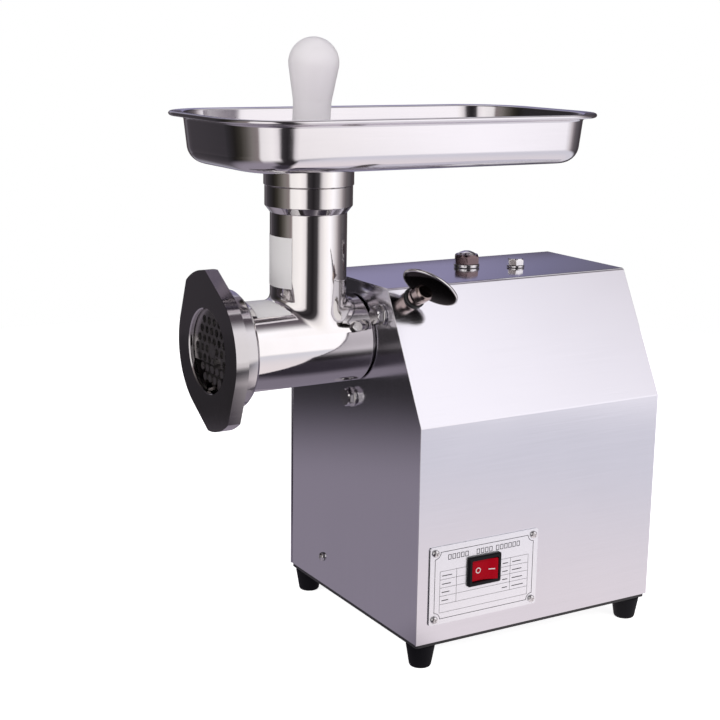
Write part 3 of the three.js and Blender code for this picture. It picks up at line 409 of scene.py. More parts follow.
BRUSHED = steel("brushed_sheet", (0.80, 0.79, 0.83), 0.13, 0.04, (900, 14, 900), relief=0.05)
PANEL = steel("satin_panel", (0.66, 0.65, 0.70), 0.15, 0.03, (700, 700, 12), relief=0.02)
POLISHED = steel("polished_casting", (0.86, 0.84, 0.83), 0.06, 0.03, (60, 60, 60), relief=0.10,
                 relief_depth=0.0004)
TRAY_STEEL = steel("pressed_tray", (0.80, 0.78, 0.80), 0.11, 0.03, (16, 16, 500), relief=0.04)
NUT_STEEL = steel("dark_polished_nut", (0.62, 0.60, 0.61), 0.10, 0.05, (300, 20, 300), relief=0.06)
BOLT_STEEL = steel("plated_bolt", (0.78, 0.77, 0.77), 0.13, 0.06, (400, 400, 400), relief=0.03)
CAP_STEEL = steel("blued_cap", (0.18, 0.13, 0.135), 0.10, 0.04, (120, 120, 120), relief=0.02)
STEM_STEEL = steel("bronzed_stem", (0.45, 0.37, 0.35), 0.12, 0.05, (200, 200, 200), relief=0.04)
# The wing's face is polished steel painted near black, a painted dark reflection
GRIP_STEEL_PAINTED_DARK = steel("grip_painted_dark_reflection", (0.04, 0.034, 0.034), 0.10, 0.04, (120, 120, 120), relief=0.02)
MACHINED = steel("machined_steel", (0.62, 0.61, 0.60), 0.30, 0.08, (500, 500, 500), relief=0.2)
CAST = surface("cast_aluminium", (0.42, 0.43, 0.44), 0.55, 0.12, (350, 350, 350), relief=0.5,
               relief_depth=0.0006, Metallic=0.8)
BRASS = steel("bearing_brass", (0.72, 0.52, 0.25), 0.28, 0.08, (300, 300, 300), relief=0.1)
BLACK_STEEL = surface("black_steel", (0.02, 0.02, 0.022), 0.5, 0.1, (500, 500, 500), relief=0.3)
PAINT = surface("grey_paint", (0.16, 0.17, 0.18), 0.45, 0.1, (260, 260, 260), relief=0.3)
WINDINGS = surface("varnished_windings", (0.35, 0.15, 0.07), 0.4, 0.12, (60, 900, 60), relief=0.6)
RUBBER = surface("foot_rubber", (0.006, 0.006, 0.008), 0.62, 0.12, (900, 900, 900), relief=0.4,
                 relief_depth=0.0001, Specular_IOR_Level=0.15)
BLACK_PLASTIC = surface("black_plastic", (0.010, 0.010, 0.012), 0.36, 0.08, (1200, 1200, 1200),
                        relief=0.25, relief_depth=0.00008, Specular_IOR_Level=0.12)
PUSHER_PLASTIC = surface("pusher_plastic", (0.93, 0.87, 0.92), 0.34, 0.06, (45, 45, 90), relief=0.03,
                         tint=0.015, Specular_IOR_Level=0.25, Subsurface_Weight=1.0,
                         Subsurface_Radius=(0.03, 0.03, 0.03), Subsurface_Scale=1.0)
# The faint red emission on the rocker is a painted glow that brightens its red
ROCKER_PLASTIC_PAINTED_GLOW = surface("rocker_plastic_painted_glow", (0.42, 0.002, 0.012), 0.12, 0.04, (300, 300, 300),
                         relief=0.02, Specular_IOR_Level=0.06, Emission_Color=(0.5, 0.0, 0.01, 1),
                         Emission_Strength=0.05)
MARK_WHITE = surface("white_marks", (0.9, 0.88, 0.87), 0.4, 0.05, (600, 600, 600))
PLATE_METAL = surface("printed_plate", (0.95, 0.96, 1.0), 0.26, 0.05, (900, 10, 900), relief=0.06,
                      tint=0.02, Metallic=0.8)
PLATE_INK = surface("plate_ink", (0.03, 0.03, 0.035), 0.45, 0.08, (500, 500, 500))
LABEL = surface("plain_label", (0.86, 0.85, 0.85), 0.38, 0.06, (200, 200, 200), tint=0.02)


# ------------------------------------------------------------------ housing

def housing_path(inset, radius):
    """The sheet's outline in (x, z), moved inwards, from its lower right edge over the top."""
    nx, nz = math.sin(SLOPE), math.cos(SLOPE)
    reach = nx * WIDTH / 2 + nz * KNEE_Z - inset
    side, top = WIDTH / 2 - inset, TOP_Z - inset
    knee, shoulder = (reach - nx * side) / nz, (reach - nz * top) / nx
    return [(side, BASE_Z), (side, knee, radius), (shoulder, top, radius),
            (-shoulder, top, radius), (-side, knee, radius), (-side, BASE_Z)]


def slope_place(y, down):
    """A frame on the right-hand slope whose +Z points out of it."""
    x = TOP_WIDTH / 2 + down * math.cos(SLOPE)
    z = TOP_Z - down * math.sin(SLOPE)
    return Matrix.Translation((x, y, z)) @ Matrix.Rotation(SLOPE, 4, "Y")


CLAMP_PLACE = slope_place(21, 9)


def build_housing():
    outer = soften(housing_path(0, 3.0), steps=6)
    inner = soften(housing_path(SHEET, 1.8), steps=6)
    clamp_hole = placed(prism(circle(6.6), -8, 8), CLAMP_PLACE)
    opening = placed(prism(switch_cutout(), WIDTH / 2 - 11.4, WIDTH / 2 + 8.6), FRAME_YZ)
    top_holes = [placed(prism(circle(radius), TOP_Z - 6, TOP_Z + 6), Matrix.Translation((*spot, 0)))
                 for spot, radius in ((OIL_CAP, 7.1), (TOP_BOLT, 4.5))]
    piece("housing_sheet", prism(outer + inner[::-1], 0, LENGTH), "housing", BRUSHED,
          ["housing_wrap"], place=FRAME_XZ, bevel=0.25, sharp=40,
          cuts=[clamp_hole, opening, *top_holes])

    holes = [rectangle(46, 4.6, 2.29, column * 32, BASE_Z + 112 + row * 12)
             for row in range(6) for column in (-1, 1)]
    holes.append(circle(8, 32, -62, BASE_Z + 38))
    panel = [p[:2] for p in housing_path(SHEET + GAP, 0)]
    piece("rear_sheet", perforated(panel, holes, LENGTH - 2.3, LENGTH - 0.8), "housing", BRUSHED,
          ["rear_panel"], place=FRAME_XZ)

    foot = soften([(0, 1.6), (4.6, 1.6, 0.4), (4.9, 0, 0.6), (7.9, 0, 0.9), (8.6, 1.4, 1.2),
                   (11.5, 18.4, 1.2), (0, 18.4)])
    for side, column in (("left", -1), ("right", 1)):
        for end, y in (("front", FOOT_INSET), ("rear", LENGTH - FOOT_INSET)):
            place = Matrix.Translation((column * (WIDTH / 2 - FOOT_INSET), y, 0))
            piece(f"rubber_foot_{end}_{side}", lathe(foot, 64), "housing", RUBBER,
                  [f"foot_{end}_{side}"], place=place)


def pan_screw(name, node, place, radius, height, shank, length):
    """A pan-head screw with a cross recess, turned a little as a driven screw is."""
    head = soften([(0, height), (radius * 0.55, height * 0.96),
                   (radius * 0.9, height * 0.62, radius * 0.3), (radius, 0, 0.2), (shank, 0),
                   (shank, -length, 0.4), (0, -length)], steps=6)
    arm = prism(rectangle(radius * 1.15, radius * 0.26, 0.05, steps=1), height * 0.45, height + 1)
    recess = [placed(arm, place @ Matrix.Rotation(turn, 4, "Z")) for turn in (0.4, 0.4 + math.pi / 2)]
    piece(name, lathe(head, 48), "housing", BOLT_STEEL, [node], place=place,
          cuts=recess)


def build_nameplate():
    middle = (sum(PLATE_Y) / 2, sum(PLATE_Z) / 2)
    width, height = PLATE_Y[1] - PLATE_Y[0], PLATE_Z[1] - PLATE_Z[0]
    corners = [(middle[0] + sy * (width / 2 - PLATE_SCREW_INSET),
                middle[1] + sz * (height / 2 - PLATE_SCREW_INSET)) for sy in (-1, 1) for sz in (-1, 1)]
    holes = [switch_cutout()] + [circle(1.7, 24, *corner) for corner in corners]
    piece("rating_plate", perforated(rectangle(width, height, 1.6, *middle), holes,
                                     PLATE_FACE - 1, PLATE_FACE),
          "housing", PLATE_METAL, ["nameplate"], place=FRAME_YZ, bevel=0.12)

    # Printed border: straight lines with a hollow corner round each screw
    half_w, half_h, notch, line = width / 2 - 4.2, height / 2 - 4.2, 5.2, 0.45

    def border(shift):
        points = []
        reach = notch + shift
        skip = math.degrees(math.asin(shift / reach))
        for k, (sy, sz) in enumerate(((1, 1), (-1, 1), (-1, -1), (1, -1))):
            turn = 270 + 90 * k
            points += arc(middle[0] + sy * half_w, middle[1] + sz * half_h, reach,
                          turn - skip, turn - 90 + skip, 8)
        return points

    prints = [perforated(border(0), [border(line)], PLATE_FACE, PRINT_FACE)]

    # The title is three words of plain boxes in place of letters
    letter_pitch, title_z = 3.9, PLATE_Z[1] - 9.4
    for word_start, letters in ((17.5, 5), (43.5, 4), (61.5, 6)):
        for k in range(letters):
            y = PLATE_Y[0] + word_start + letter_pitch * k
            box, hollow = (rectangle(2.9 - trim, 4.2 - trim, 0.1, y, title_z, 1) for trim in (0, 1))
            prints.append(perforated(box, [hollow], PLATE_FACE, PRINT_FACE))

    def bar(y0, y1, z0, z1):
        prints.append(prism([(y0, z0), (y1, z0), (y1, z1), (y0, z1)], PLATE_FACE, PRINT_FACE))

    # The table's rows leave out the switch, and its entries are plain bars
    left, right, beside_switch = PLATE_Y[0] + 9, PLATE_Y[1] - 9, 15.6
    rows = [PLATE_Z[1] - 20 - 6.6 * k for k in range(6)]
    for z in rows:
        if abs(z - SWITCH.z) < SWITCH_BEZEL[1] / 2 + 0.5:
            bar(left, SWITCH.y - beside_switch, z, z + HAIRLINE)
            bar(SWITCH.y + beside_switch, right, z, z + HAIRLINE)
        else:
            bar(left, right, z, z + HAIRLINE)
    for y in (left, left + 15, right - 17, right):
        bar(y, y + HAIRLINE, rows[-1] if y in (left, right) else rows[4], rows[0] + HAIRLINE)
    for k, z in enumerate(rows[:4]):
        for y, length in ((left + 2, 9 - k), (right - 15, 8 + k), (SWITCH.y + 18, 5)):
            bar(y, y + length, z - 3.9, z - 3.2)
    piece("rating_plate_print", prints, "housing", PLATE_INK, place=FRAME_YZ)

    for number, (y, z) in enumerate(corners, 1):
        place = Matrix.Translation((PLATE_FACE + GAP, y, z)) @ Matrix.Rotation(math.pi / 2, 4, "Y")
        pan_screw(f"plate_screw_{number}", f"nameplate_screw_{number}", place, radius=3, height=1.8,
                  shank=1.5, length=6)


def build_switch():
    place = Matrix.Translation(SWITCH) @ FRAME_YZ
    well = placed(prism(rectangle(24.4, 17.4, 0.6), -11, 8), place)
    outlines = (((26.6, 20.4), 0.6, -24), ((26.6, 20.4), 0.6, 0), (SWITCH_BEZEL, 1.6, 0),
                (SWITCH_BEZEL, 1.6, 1.5), ((28.6, 22.0), 1.4, 2.6))
    rings = [[(x, y, z) for x, y in rectangle(*size, corner)] for size, corner, z in outlines]
    piece("switch_bezel", loft(rings), "housing", BLACK_PLASTIC, ["switch_body"],
          place=place, cuts=[well], bevel=0.25)

    rocker_place = (Matrix.Translation(SWITCH + Vector((1.6, 0, 0)))
                    @ Matrix.Rotation(-math.radians(ROCKER_TILT), 4, "Z"))
    end, dip = 0.6, 1.4

    def dish(y):
        return end - dip * math.cos(math.pi / 2 * y / ROCKER_HALF) ** 1.6

    face = [(dish(ROCKER_HALF * t / 8), ROCKER_HALF * t / 8) for t in range(-8, 9)]
    outline = [(-7, -8), (-2.5, -ROCKER_HALF)] + face + [(-2.5, ROCKER_HALF), (-7, 8)]
    piece("rocker_key", prism(outline, -8.3, 8.3), "rocker", ROCKER_PLASTIC_PAINTED_GLOW,
          ["switch_rocker"], place=rocker_place, bevel=0.35, sharp=25)

    def mark(outline, holes, cy):
        """A thin print that follows the dished face."""
        vertices, faces = perforated(outline, holes, 0, 0.12)
        return placed(([(dish(y + cy) + z, y + cy, x) for x, y, z in vertices], faces), rocker_place)

    piece("rocker_marks", [mark(circle(2.3, 40), [circle(1.65, 40)], -5.6),
                           mark(rectangle(0.8, 5.2, 0.2, steps=1), [], 5.9)],
          "rocker", MARK_WHITE)


def build_bolts():
    flat = lathe(soften([(0, 0), (8, 0, 0.3), (8, 1.5, 0.3), (0, 1.5)]), 64)
    for name, angle in FLANGE_BOLTS.items():
        turn = math.radians(angle)
        place = (Matrix.Translation((FLANGE_CIRCLE * math.cos(turn), 0.5,
                                     AXIS_Z + FLANGE_CIRCLE * math.sin(turn)))
                 @ Matrix.Rotation(math.pi / 2, 4, "X"))
        piece(f"panel_bolt_{name}", hex_head(13, 1.4, 6.8), "housing", BOLT_STEEL,
              [f"flange_bolt_{name}"], place=place,
              joined=[placed(flat, place), placed(threaded(*M8, -10, 1.5), place)])

    place = Matrix.Translation((*OIL_CAP, TOP_Z + GAP))
    piece("filler_washer", washer(7, 10.5, 0, 2.6, 0.4, 0.6, 80), "cap_washer", BOLT_STEEL,
          ["oil_cap_washer"], place=place)
    piece("filler_cap", hex_head(18.5, 2.9, 10.3), "cap", CAP_STEEL, ["oil_cap"],
          place=place, joined=[placed(threaded(*CAP_THREAD, -14, 4), place)])
    dome = soften([(0, 13.1), (3, 12.8), (6, 11.6, 1), (7.2, 10.3), (0, 10.3)], steps=6)
    piece("filler_cap_dome", lathe(dome, 80), "cap", POLISHED, place=place)

    place = Matrix.Translation((*TOP_BOLT, TOP_Z + GAP))
    piece("case_bolt_washer", washer(4.4, 7.3, 0, 1.6, 0.3, 0.4), "housing", BOLT_STEEL,
          ["top_bolt_washer"], place=place)
    place = place @ Matrix.Translation((0, 0, 1.6 + GAP))
    piece("case_bolt", hex_head(12, 0, 5.2), "housing", BOLT_STEEL, ["top_bolt"],
          place=place, joined=[placed(threaded(*M8, -9, 1), place)])

    place = Matrix.Translation((-45.4, 0.5, BASE_Z + 23.5)) @ Matrix.Rotation(math.pi / 2, 4, "X")
    pan_screw("panel_screw", "front_panel_screw", place, radius=3.8, height=2.6, shank=2, length=9)


def build_clamp():
    piece("clamp_ring", washer(6.5, 8.4, 0.3, 2, 0.5, 0.7), "clamp_ring", BLACK_STEEL,
          ["clamp_washer"], place=CLAMP_PLACE)
    place = CLAMP_PLACE @ Matrix.Rotation(math.radians(WING_TURN), 4, "Z")
    boss = soften([(0, 18), (6.2, 18, 0.8), (7.6, 16, 1.5), (7.6, 9, 2), (6.4, 5, 2), (7.2, 2.3, 0.6),
                   (0, 2.3)])
    slot = placed(prism(rectangle(24, 3.3, 0.1), 7.6, 20), place)
    piece("clamp_stem", lathe(boss, 72), "clamp", STEM_STEEL, ["clamp_screw"],
          place=place, joined=[placed(threaded(*M12, -36.3, 3), place)], cuts=[slot])
    place = place @ Matrix.Translation((0, 0, WING_HEIGHT)) @ FRAME_XZ

    def ovals(*rings):
        """The wing's outline at a scale and a depth, for each of the rings."""
        return [[(WING_HALVES[0] * scale * x, WING_HALVES[1] * scale * z, y) for x, z in circle(1, 96)]
                for scale, y in rings]

    # The wing's face is steel painted dark for the dark reflection its polished face shows, in a rim
    # of plain bright steel
    plate = ovals((0.86, -1.5), (0.94, -1.2), (0.94, 1.2), (0.86, 1.5))
    piece("clamp_grip", loft(plate), "clamp", GRIP_STEEL_PAINTED_DARK, ["clamp_wing"],
          place=place, bevel=0.3, sharp=20)
    rim = ovals((0.935, -1.15), (0.975, -1.1), (1.0, -0.6), (1.0, 0.6), (0.975, 1.1), (0.935, 1.15))
    piece("clamp_grip_edge", loft(rim, closed=True), "clamp", BOLT_STEEL,
          place=place, sharp=60)


# ------------------------------------------------------------------ grinding head

def feed_tube():
    """The feed tube with a fillet that runs tangent into the barrel, as rings from the axis up.

    The fillet is widest in front and behind, and narrower at the sides, where the barrel falls away.
    Two rings inside the barrel close the root, and the fillet's foot is sunk a little into it.
    """
    count, steps, flare, narrowing, sink = 160, 8, 6.5, 0.55, 0.04
    rings = []
    for step in range(-2, steps + 1):
        ring = []
        for k in range(count):
            angle = 2 * math.pi * k / count
            c, s = math.cos(angle), math.sin(angle)
            width = flare * (1 - narrowing * c * c)
            outer = TUBE_RADIUS + width
            height = math.sqrt(BARREL_RADIUS ** 2 - (outer * c) ** 2)
            fall = -outer * c * c / height
            corner = Vector((TUBE_RADIUS, height - fall * width))
            if step == -2:
                radius, z = 12.0, 2.0
            elif step == -1:
                radius, z = outer - 5, height - 8
            else:
                t = step / steps
                foot, top = Vector((outer, height)), corner + Vector((0, flare))
                radius, z = foot * (1 - t) ** 2 + corner * 2 * t * (1 - t) + top * t * t
                z -= sink * (1 - t) ** 4
            ring.append((radius * c, radius * s + TUBE_Y, z + AXIS_Z))
        rings.append(ring)
    collar = soften([(TUBE_RADIUS, 300), (TUBE_RADIUS, 340.9, 1.5), (33.2, 346.1, 1.2),
                     (33.2, 361.1, 0.8), (20, 361.1)])
    for radius, z in collar:
        rings.append([(x, y + TUBE_Y, z) for x, y in circle(radius, count)])
    return loft(rings)


def build_head():
    barrel = soften([(0, 38), (30, 38, 1), (30, -0.8), (BARREL_RADIUS, -0.8, 0.8),
                     (BARREL_RADIUS, -101.2, 0.8), (36, -102.2, 0.6), (36, -118.5, 0.6), (0, -118.5)])
    bore = [(0, 50), (15.2, 50), (15.2, 28), (13, 28), (13, -4), (27, -4), (27, -104.5),
            (35.2, -104.5), (35.2, -130), (0, -130)]
    throat = [(0, AXIS_Z), (24.5, AXIS_Z), (24.5, 348), (29.3, 348), (29.3, 380), (0, 380)]
    forwards = BARREL_AXIS @ Matrix.Scale(-1, 4, (0, 0, 1))
    thread = placed(threaded(*NUT_THREAD, 102.4, 118.5, 96), forwards)
    screw_place = (Matrix.Translation((0, -15, AXIS_Z)) @ Matrix.Rotation(math.radians(66), 4, "Y")
                   @ Matrix.Translation((0, 0, BARREL_RADIUS)))
    piece("head_shell", lathe(barrel, 160), "head", POLISHED, ["head_casting"],
          place=BARREL_AXIS, joined=[feed_tube(), thread],
          cuts=[placed(lathe(bore, 128), BARREL_AXIS), placed(lathe(throat, 128), TUBE_AXIS),
                placed(prism(circle(2.8), -6.4, 4), screw_place)], sharp=32)
    screw_place = screw_place @ Matrix.Translation((0, 0, GAP))
    piece("barrel_screw", hex_head(7.5, 0, 3), "head", BOLT_STEEL, ["bushing_screw"],
          place=screw_place, joined=[placed(threaded(2.4, 0.3, 0.8, -5.4, 1, 32), screw_place)])


def label(name, axis, radius, angles, span):
    """A blank sticker wrapped round a cylinder, between two angles and over a span of its axis."""
    start, end = angles
    outline = arc(0, 0, radius + 0.25, start, end, 16) + arc(0, 0, radius + 0.05, end, start, 16)
    piece(name, prism(outline, *span), "head", LABEL, place=axis, sharp=40)


def build_labels():
    label("tube_label", TUBE_AXIS, TUBE_RADIUS, angles=(-131, -53), span=(286, 324))
    label("barrel_label", BARREL_AXIS, BARREL_RADIUS, angles=(50, 94), span=(-93, -65))


def build_nut():
    # Two ears, whose straight flanks touch the round part
    swing = math.degrees(math.acos(NUT_RADIUS / EAR_RADIUS))
    outline = []
    for turn in (EAR_TURN, EAR_TURN + 180):
        start, end = turn - EAR_SPREAD, turn + EAR_SPREAD
        outline += arc(0, 0, EAR_RADIUS, start, end, 14)
        outline += arc(0, 0, NUT_RADIUS, end + swing, start + 180 - swing, 24)
    collar = soften([(0, -101), (42.0, -101, 0.6), (44.5, -103.6, 0.8), (44.5, -115), (0, -115)])
    inside = [(0, -90), (39.3, -90), (39.3, -120), (32.2, -120), (31.5, -120.7), (31.5, -123.2),
              (32.6, -124.3), (32.6, -130), (0, -130)]
    piece("nut_shell", prism(outline, -124, -114), "nut", NUT_STEEL,
          ["ring_nut"], place=BARREL_AXIS, joined=[placed(lathe(collar, 128), BARREL_AXIS)],
          cuts=[placed(lathe(inside, 128), BARREL_AXIS)], bevel=0.6, sharp=28)

    # The mincing plate's holes lie on a triangular grid round the one for the auger's pin
    holes = [circle(6.05, 40)]
    for row in range(-4, 5):
        for column in range(-4, 5):
            x, z = MINCE_PITCH * (column + row / 2), MINCE_PITCH * row * math.sqrt(3) / 2
            if 8 < math.hypot(x, z) < 28.5:
                holes.append(circle(MINCE_HOLE, 20, x, z))
    piece("mincing_plate", perforated(circle(34.8, 96), holes, -119.7, -112.7), "plate", MACHINED,
          ["grinder_plate"], place=BARREL_AXIS, bevel=0.3)


# ------------------------------------------------------------------ tray and pusher

def tray_ring(inset, z, steps=16):
    """The rim's outline moved inwards. Its round corners are longer across the tray than along it."""
    bent = min(1, inset / TRAY_WALL)
    across, along = TRAY_CORNER - inset + 7 * bent, TRAY_CORNER - inset - 3 * bent
    half, front, rear = TRAY_HALF - inset, TRAY_FRONT + inset, TRAY_REAR - inset
    points = []
    for k, (sx, y) in enumerate(((1, rear - along), (-1, rear - along), (-1, front + along),
                                 (1, front + along))):
        points += [(sx * (half - across) + across * px, y + along * py, z)
                   for px, py in arc(0, 0, 1, 90 * k, 90 * k + 90, steps)]
    return points


def hole_ring(z):
    """The circle round the feed hole, with its points in line with those of a ring of the tray."""
    points = []
    for x, y, _ in tray_ring(40, z):
        out = Vector((x, y - TUBE_Y)).normalized() * TRAY_HOLE
        points.append((out.x, out.y + TUBE_Y, z))
    return points


def build_tray():
    upper_floor = TRAY_FLOOR + TRAY_SHEET
    outside = soften([(40, TRAY_FLOOR), (13.5, TRAY_FLOOR, 14), (TRAY_WALL, RIM_Z - 3, 2.0),
                      (3.0, RIM_Z - 1.5, 0.3)], steps=10)
    bead = arc(1.7, RIM_Z, 1.7, -60, -180, 8) + arc(1.7, RIM_Z, 1.7, 180, 70, 8)
    inside = soften([(3.0, RIM_Z + 1.5, 0.3), (9.0, RIM_Z + 1.2, 1.6), (15, upper_floor, 12.5),
                     (40, upper_floor)], steps=10)
    rings = [tray_ring(inset, z) for inset, z in outside + bead + inside]
    piece("tray_shell", loft([hole_ring(TRAY_FLOOR), *rings, hole_ring(upper_floor)], closed=True),
          "tray", TRAY_STEEL, ["tray"], sharp=35)
    spout = soften([(25, 349, 0.3), (28.9, 349, 0.6), (28.9, 361.4), (34, 361.4, 0.6),
                    (34, 375.4, 0.5), (25, 375.4, 0.3), (25, 349, 0.3)])
    piece("tray_collar", lathe(spout, 128), "spout", POLISHED, ["tray_spout"],
          place=TUBE_AXIS)


def build_pusher():
    flange = TRAY_FLOOR + TRAY_SHEET + 1.5
    profile = soften([
        (0, 274), (18, 274, 3), (20, 278, 2), (20, 296, 2), (13.6, 302, 3), (13.6, flange, 2),
        (28, flange, 1), (28, flange + 3, 1.2), (14, flange + 5, 3), (14.2, 422, 20), (17.6, 442, 8),
        (18.55, 447.5)], steps=8)
    profile += arc(0, 450.4, 18.8, -6, 90, 16)
    place = (Matrix.Translation((0, TUBE_Y, PUSHER_PIVOT_Z))
             @ Matrix.Rotation(-math.radians(PUSHER_LEAN), 4, "X")
             @ Matrix.Translation((0, 0, -PUSHER_PIVOT_Z)))
    piece("pusher_handle", lathe(profile, 96), "pusher", PUSHER_PLASTIC, ["pusher"],
          place=place, sharp=50)


# ------------------------------------------------------------------ rest of the frame

def finish_cad_nodes():
    """Gives every CAD node a finish, of which those that no piece replaces are seen."""
    finishes = {
        "front_panel": PANEL, "base_plate": BLACK_STEEL, "cable_gland": BLACK_PLASTIC,
        "motor_fan": BLACK_PLASTIC, "capacitor": BLACK_PLASTIC, "motor_shell": PAINT,
        "motor_bell": CAST, "gearbox_case": CAST, "gearbox_cover": CAST, "motor_stator": WINDINGS,
        "auger_bushing": BRASS,
    }
    for name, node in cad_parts.items():
        node.data.materials.clear()
        node.data.materials.append(finishes.get(name, MACHINED))


# ------------------------------------------------------------------ stage, light and camera

# What the polished steel reflects from far off: azimuth in degrees from -Y towards +X, and a colour
STUDIO_RING = (
    (-180, 0.12, 0.11, 0.12), (-165, 0.08, 0.07, 0.08), (-150, 0.035, 0.03, 0.035),
    (-138, 0.06, 0.055, 0.07), (-131, 0.16, 0.15, 0.21), (-128, 0.20, 0.19, 0.30),
    (-124, 0.29, 0.27, 0.42), (-112, 0.31, 0.29, 0.44), (-92, 0.32, 0.31, 0.35),
    (-80, 0.08, 0.07, 0.08), (-60, 0.036, 0.033, 0.038), (-40, 0.018, 0.016, 0.015),
    (-28, 0.04, 0.036, 0.03), (-15, 0.11, 0.10, 0.09), (-2, 0.23, 0.21, 0.20),
    (10, 0.26, 0.22, 0.22), (15, 0.95, 0.92, 0.92), (40, 1.08, 1.04, 1.04), (53, 0.95, 0.90, 0.92),
    (60, 0.05, 0.045, 0.05), (74, 0.02, 0.018, 0.02), (88, 0.06, 0.055, 0.06),
    (98, 0.80, 0.76, 0.78), (112, 1.08, 1.04, 1.04), (128, 1.2, 1.17, 1.22),
    (133, 1.12, 1.09, 1.14), (138, 0.98, 0.95, 1.0), (146, 0.80, 0.76, 0.79),
    (154, 0.58, 0.53, 0.55), (162, 0.30, 0.27, 0.29), (172, 0.15, 0.13, 0.14),
    (180, 0.12, 0.11, 0.12))
OVERHEAD_RING = (
    (-180, 0.3, 0.28, 0.3), (-160, 1.0, 0.98, 1.0), (-100, 1.1, 1.08, 1.1), (-80, 0.10, 0.09, 0.10),
    (60, 0.06, 0.05, 0.06), (80, 0.15, 0.13, 0.14), (150, 0.12, 0.10, 0.12), (180, 0.3, 0.28, 0.3))
STUDIO_POWER = 1.25

# Level directions in which the floor and the wall change
SWITCH_SIDE, BARREL_SIDE, LILAC_WALL = (0.866, 0.5, 0), (-0.48, 0.877, 0), (-0.857, 0.515, 0)

# The stage in metres
SHADE_SPOT, FLOOR_RADIUS = (0.16, -0.16, 0), 1.3
LAMP_SIZE, LAMP_DISTANCE = 1.2, 1.6

# What the floor and the skirting look like in reflections; the wedge and shade colours are painted
# shade
FLOOR_GREY, FLOOR_PALE, FLOOR_FAR = (0.255, 0.228, 0.272), (0.705, 0.650, 0.672), (0.60, 0.592, 0.65)
FLOOR_WEDGE_SHADE, FLOOR_SHADE, SKIRTING = (0.02, 0.017, 0.02), (0.04, 0.034, 0.045), (0.06, 0.05, 0.055)

# The camera: azimuth, elevation and roll in degrees, place in metres from ORIGIN, lens in millimetres
CAMERA_TURN, CAMERA_PLACE = (59.45, 12.75, 0.86), Vector((0.95830, -0.55829, 0.47363))
CAMERA_LENS, CAMERA_SENSOR = 72.74, 36


def ring_color(tree, direction, stops):
    """A colour by the azimuth of a direction, divided by the studio's power, since it may pass 1."""
    axes = add(tree, "ShaderNodeSeparateXYZ", {0: direction})
    backwards = add(tree, "ShaderNodeMath", {0: axes.outputs["Y"], 1: -1.0}, operation="MULTIPLY")
    azimuth = add(tree, "ShaderNodeMath", {0: axes.outputs["X"], 1: backwards.outputs[0]},
                  operation="ARCTAN2")
    around = add(tree, "ShaderNodeMapRange", {"Value": azimuth.outputs[0], "From Min": -math.pi,
                                              "From Max": math.pi})
    ramp = add(tree, "ShaderNodeValToRGB", {"Fac": around.outputs["Result"]})
    elements = ramp.color_ramp.elements
    elements[1].position = 1.0
    for angle, *_ in stops[1:-1]:
        elements.new((angle + 180) / 360)
    for element, (_, *rgb) in zip(elements, stops):
        element.color = (*(c / STUDIO_POWER for c in rgb), 1)
    return ramp.outputs["Color"]


def fade(tree, value, start, end):
    """Rises smoothly from 0 to 1 as the value goes from start to end."""
    return add(tree, "ShaderNodeMapRange", {"Value": value, "From Min": start, "From Max": end},
               interpolation_type="SMOOTHSTEP").outputs["Result"]


def reach_along(tree, place, direction):
    """How far a place lies along a direction."""
    return add(tree, "ShaderNodeVectorMath", {0: place, 1: direction},
               operation="DOT_PRODUCT").outputs["Value"]


def shown_to_camera(tree, kind, reflected, seen):
    """Shows the second shader to the camera and the first in reflections and as light."""
    path = add(tree, "ShaderNodeLightPath")
    mixed = add(tree, "ShaderNodeMixShader", {
        0: path.outputs["Is Camera Ray"], 1: reflected.outputs[0], 2: seen.outputs[0]})
    out = add(tree, kind)
    tree.links.new(mixed.outputs[0], out.inputs["Surface"])


def build_stage():
    mesh = bpy.data.meshes.new("floor")
    mesh.from_pydata([(x, y, 0) for x, y in circle(FLOOR_RADIUS, 64)], [], [range(64)])
    new_object("floor", mesh)

    # The floor is white to look at. In reflections it is grey in front of the machine and pale on the
    # switch's side, with a dark wedge of painted shade beside the barrel and a painted shaded spot by
    # the front corner. Farther out it turns into the studio's ring, on the pale side later than
    # elsewhere.
    material = bpy.data.materials.new("studio_floor")
    material.use_nodes = True
    tree = material.node_tree
    tree.nodes.clear()
    place = add(tree, "ShaderNodeTexCoord").outputs["Object"]
    distance = add(tree, "ShaderNodeVectorMath", {0: place}, operation="LENGTH").outputs["Value"]
    # The shaded spot and the dark wedge are painted shade, as the reflected floor takes no shadows
    from_shade = add(tree, "ShaderNodeVectorMath", {0: place, 1: SHADE_SPOT},
                     operation="DISTANCE").outputs["Value"]
    right = fade(tree, reach_along(tree, place, SWITCH_SIDE), 0.0, 0.13)
    beside = fade(tree, reach_along(tree, place, BARREL_SIDE), -0.2, -0.1)
    pale = blend_colors(tree, fade(tree, distance, 0.15, 0.75), FLOOR_PALE, FLOOR_FAR)
    lit = blend_colors(tree, right, FLOOR_GREY, blend_colors(tree, beside, FLOOR_WEDGE_SHADE, pale))
    near = blend_colors(tree, fade(tree, from_shade, 0.07, 0.17), FLOOR_SHADE, lit)
    pale_side = add(tree, "ShaderNodeMath", {0: right, 1: beside}, operation="MULTIPLY").outputs[0]
    shortened = add(tree, "ShaderNodeMath", {0: pale_side, 1: -0.42, 2: distance},
                    operation="MULTIPLY_ADD").outputs[0]
    color = blend_colors(tree, fade(tree, shortened, 0.42, 0.84), near,
                         ring_color(tree, place, STUDIO_RING))
    reflected = add(tree, "ShaderNodeEmission", {"Color": color, "Strength": STUDIO_POWER})
    white = add(tree, "ShaderNodeBsdfDiffuse", {"Color": (0.92, 0.92, 0.92, 1)})
    glow = add(tree, "ShaderNodeEmission", {"Color": (1, 1, 1, 1), "Strength": 0.86})
    seen = add(tree, "ShaderNodeAddShader", {0: white.outputs[0], 1: glow.outputs[0]})
    shown_to_camera(tree, "ShaderNodeOutputMaterial", reflected, seen)
    mesh.materials.append(material)


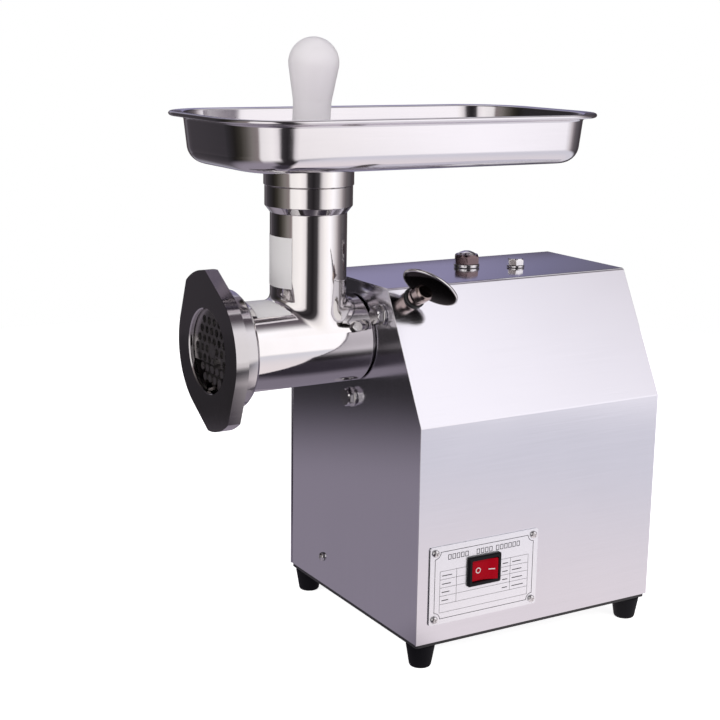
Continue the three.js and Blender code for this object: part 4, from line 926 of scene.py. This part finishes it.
def build_world():
    """A white studio whose panels and dark gaps show in the polished parts."""
    world = bpy.data.worlds.new("studio")
    bpy.context.scene.world = world
    world.use_nodes = True
    tree = world.node_tree
    tree.nodes.clear()
    direction = add(tree, "ShaderNodeTexCoord").outputs["Generated"]
    height = add(tree, "ShaderNodeSeparateXYZ", {0: direction}).outputs["Z"]
    # The lilac back wall stands on a dark skirting, which shows in the tray's rim
    backwards = fade(tree, reach_along(tree, direction, LILAC_WALL), 0.75, 0.9)
    skirting = add(tree, "ShaderNodeMath", {0: backwards, 1: fade(tree, height, 0.13, 0.06)},
                   operation="MULTIPLY").outputs[0]
    walls = blend_colors(tree, skirting, ring_color(tree, direction, STUDIO_RING), SKIRTING)
    color = blend_colors(tree, fade(tree, height, 0.56, 0.80), walls,
                         ring_color(tree, direction, OVERHEAD_RING))
    studio = add(tree, "ShaderNodeBackground", {"Color": color, "Strength": STUDIO_POWER})
    white = add(tree, "ShaderNodeBackground", {"Color": (1, 1, 1, 1), "Strength": 1.0})
    shown_to_camera(tree, "ShaderNodeOutputWorld", studio, white)


def outwards(azimuth, elevation):
    """The direction away from the machine, its azimuth from -Y towards +X, in degrees."""
    turn, rise = math.radians(azimuth), math.radians(elevation)
    return Vector((math.sin(turn) * math.cos(rise), -math.cos(turn) * math.cos(rise), math.sin(rise)))


def soft_light(name, azimuth, elevation, power):
    """A soft light on the matt parts; the polished ones reflect the studio instead."""
    back = outwards(azimuth, elevation)
    light = bpy.data.lights.new(name, "AREA")
    light.shape, light.size, light.energy = "SQUARE", LAMP_SIZE, power
    lamp = new_object(name, light)
    lamp.location = Vector((0, 0, 0.2)) + back * LAMP_DISTANCE
    lamp.rotation_mode = "QUATERNION"
    lamp.rotation_quaternion = back.to_track_quat("Z", "Y")
    lamp.visible_glossy = False


def build_camera():
    azimuth, elevation, roll = CAMERA_TURN
    turn, lean = math.radians(azimuth), math.radians(roll)
    right, back = Vector((math.cos(turn), math.sin(turn), 0)), outwards(azimuth, elevation)
    up = back.cross(right)
    axes = (right * math.cos(lean) + up * math.sin(lean), up * math.cos(lean) - right * math.sin(lean),
            back)
    data = bpy.data.cameras.new("camera")
    data.sensor_width, data.lens = CAMERA_SENSOR, CAMERA_LENS
    camera = new_object("camera", data)
    camera.matrix_world = (Matrix.Translation(ORIGIN + CAMERA_PLACE)
                           @ Matrix(axes).transposed().to_4x4())
    bpy.context.scene.camera = camera


finish_cad_nodes()
build_housing()
build_nameplate()
build_switch()
build_bolts()
build_clamp()
build_head()
build_labels()
build_nut()
build_tray()
build_pusher()
build_stage()
build_world()
soft_light("key", azimuth=95, elevation=35, power=9)
soft_light("fill", azimuth=-10, elevation=20, power=10)
build_camera()
bpy.context.scene.view_settings.view_transform = "Standard"
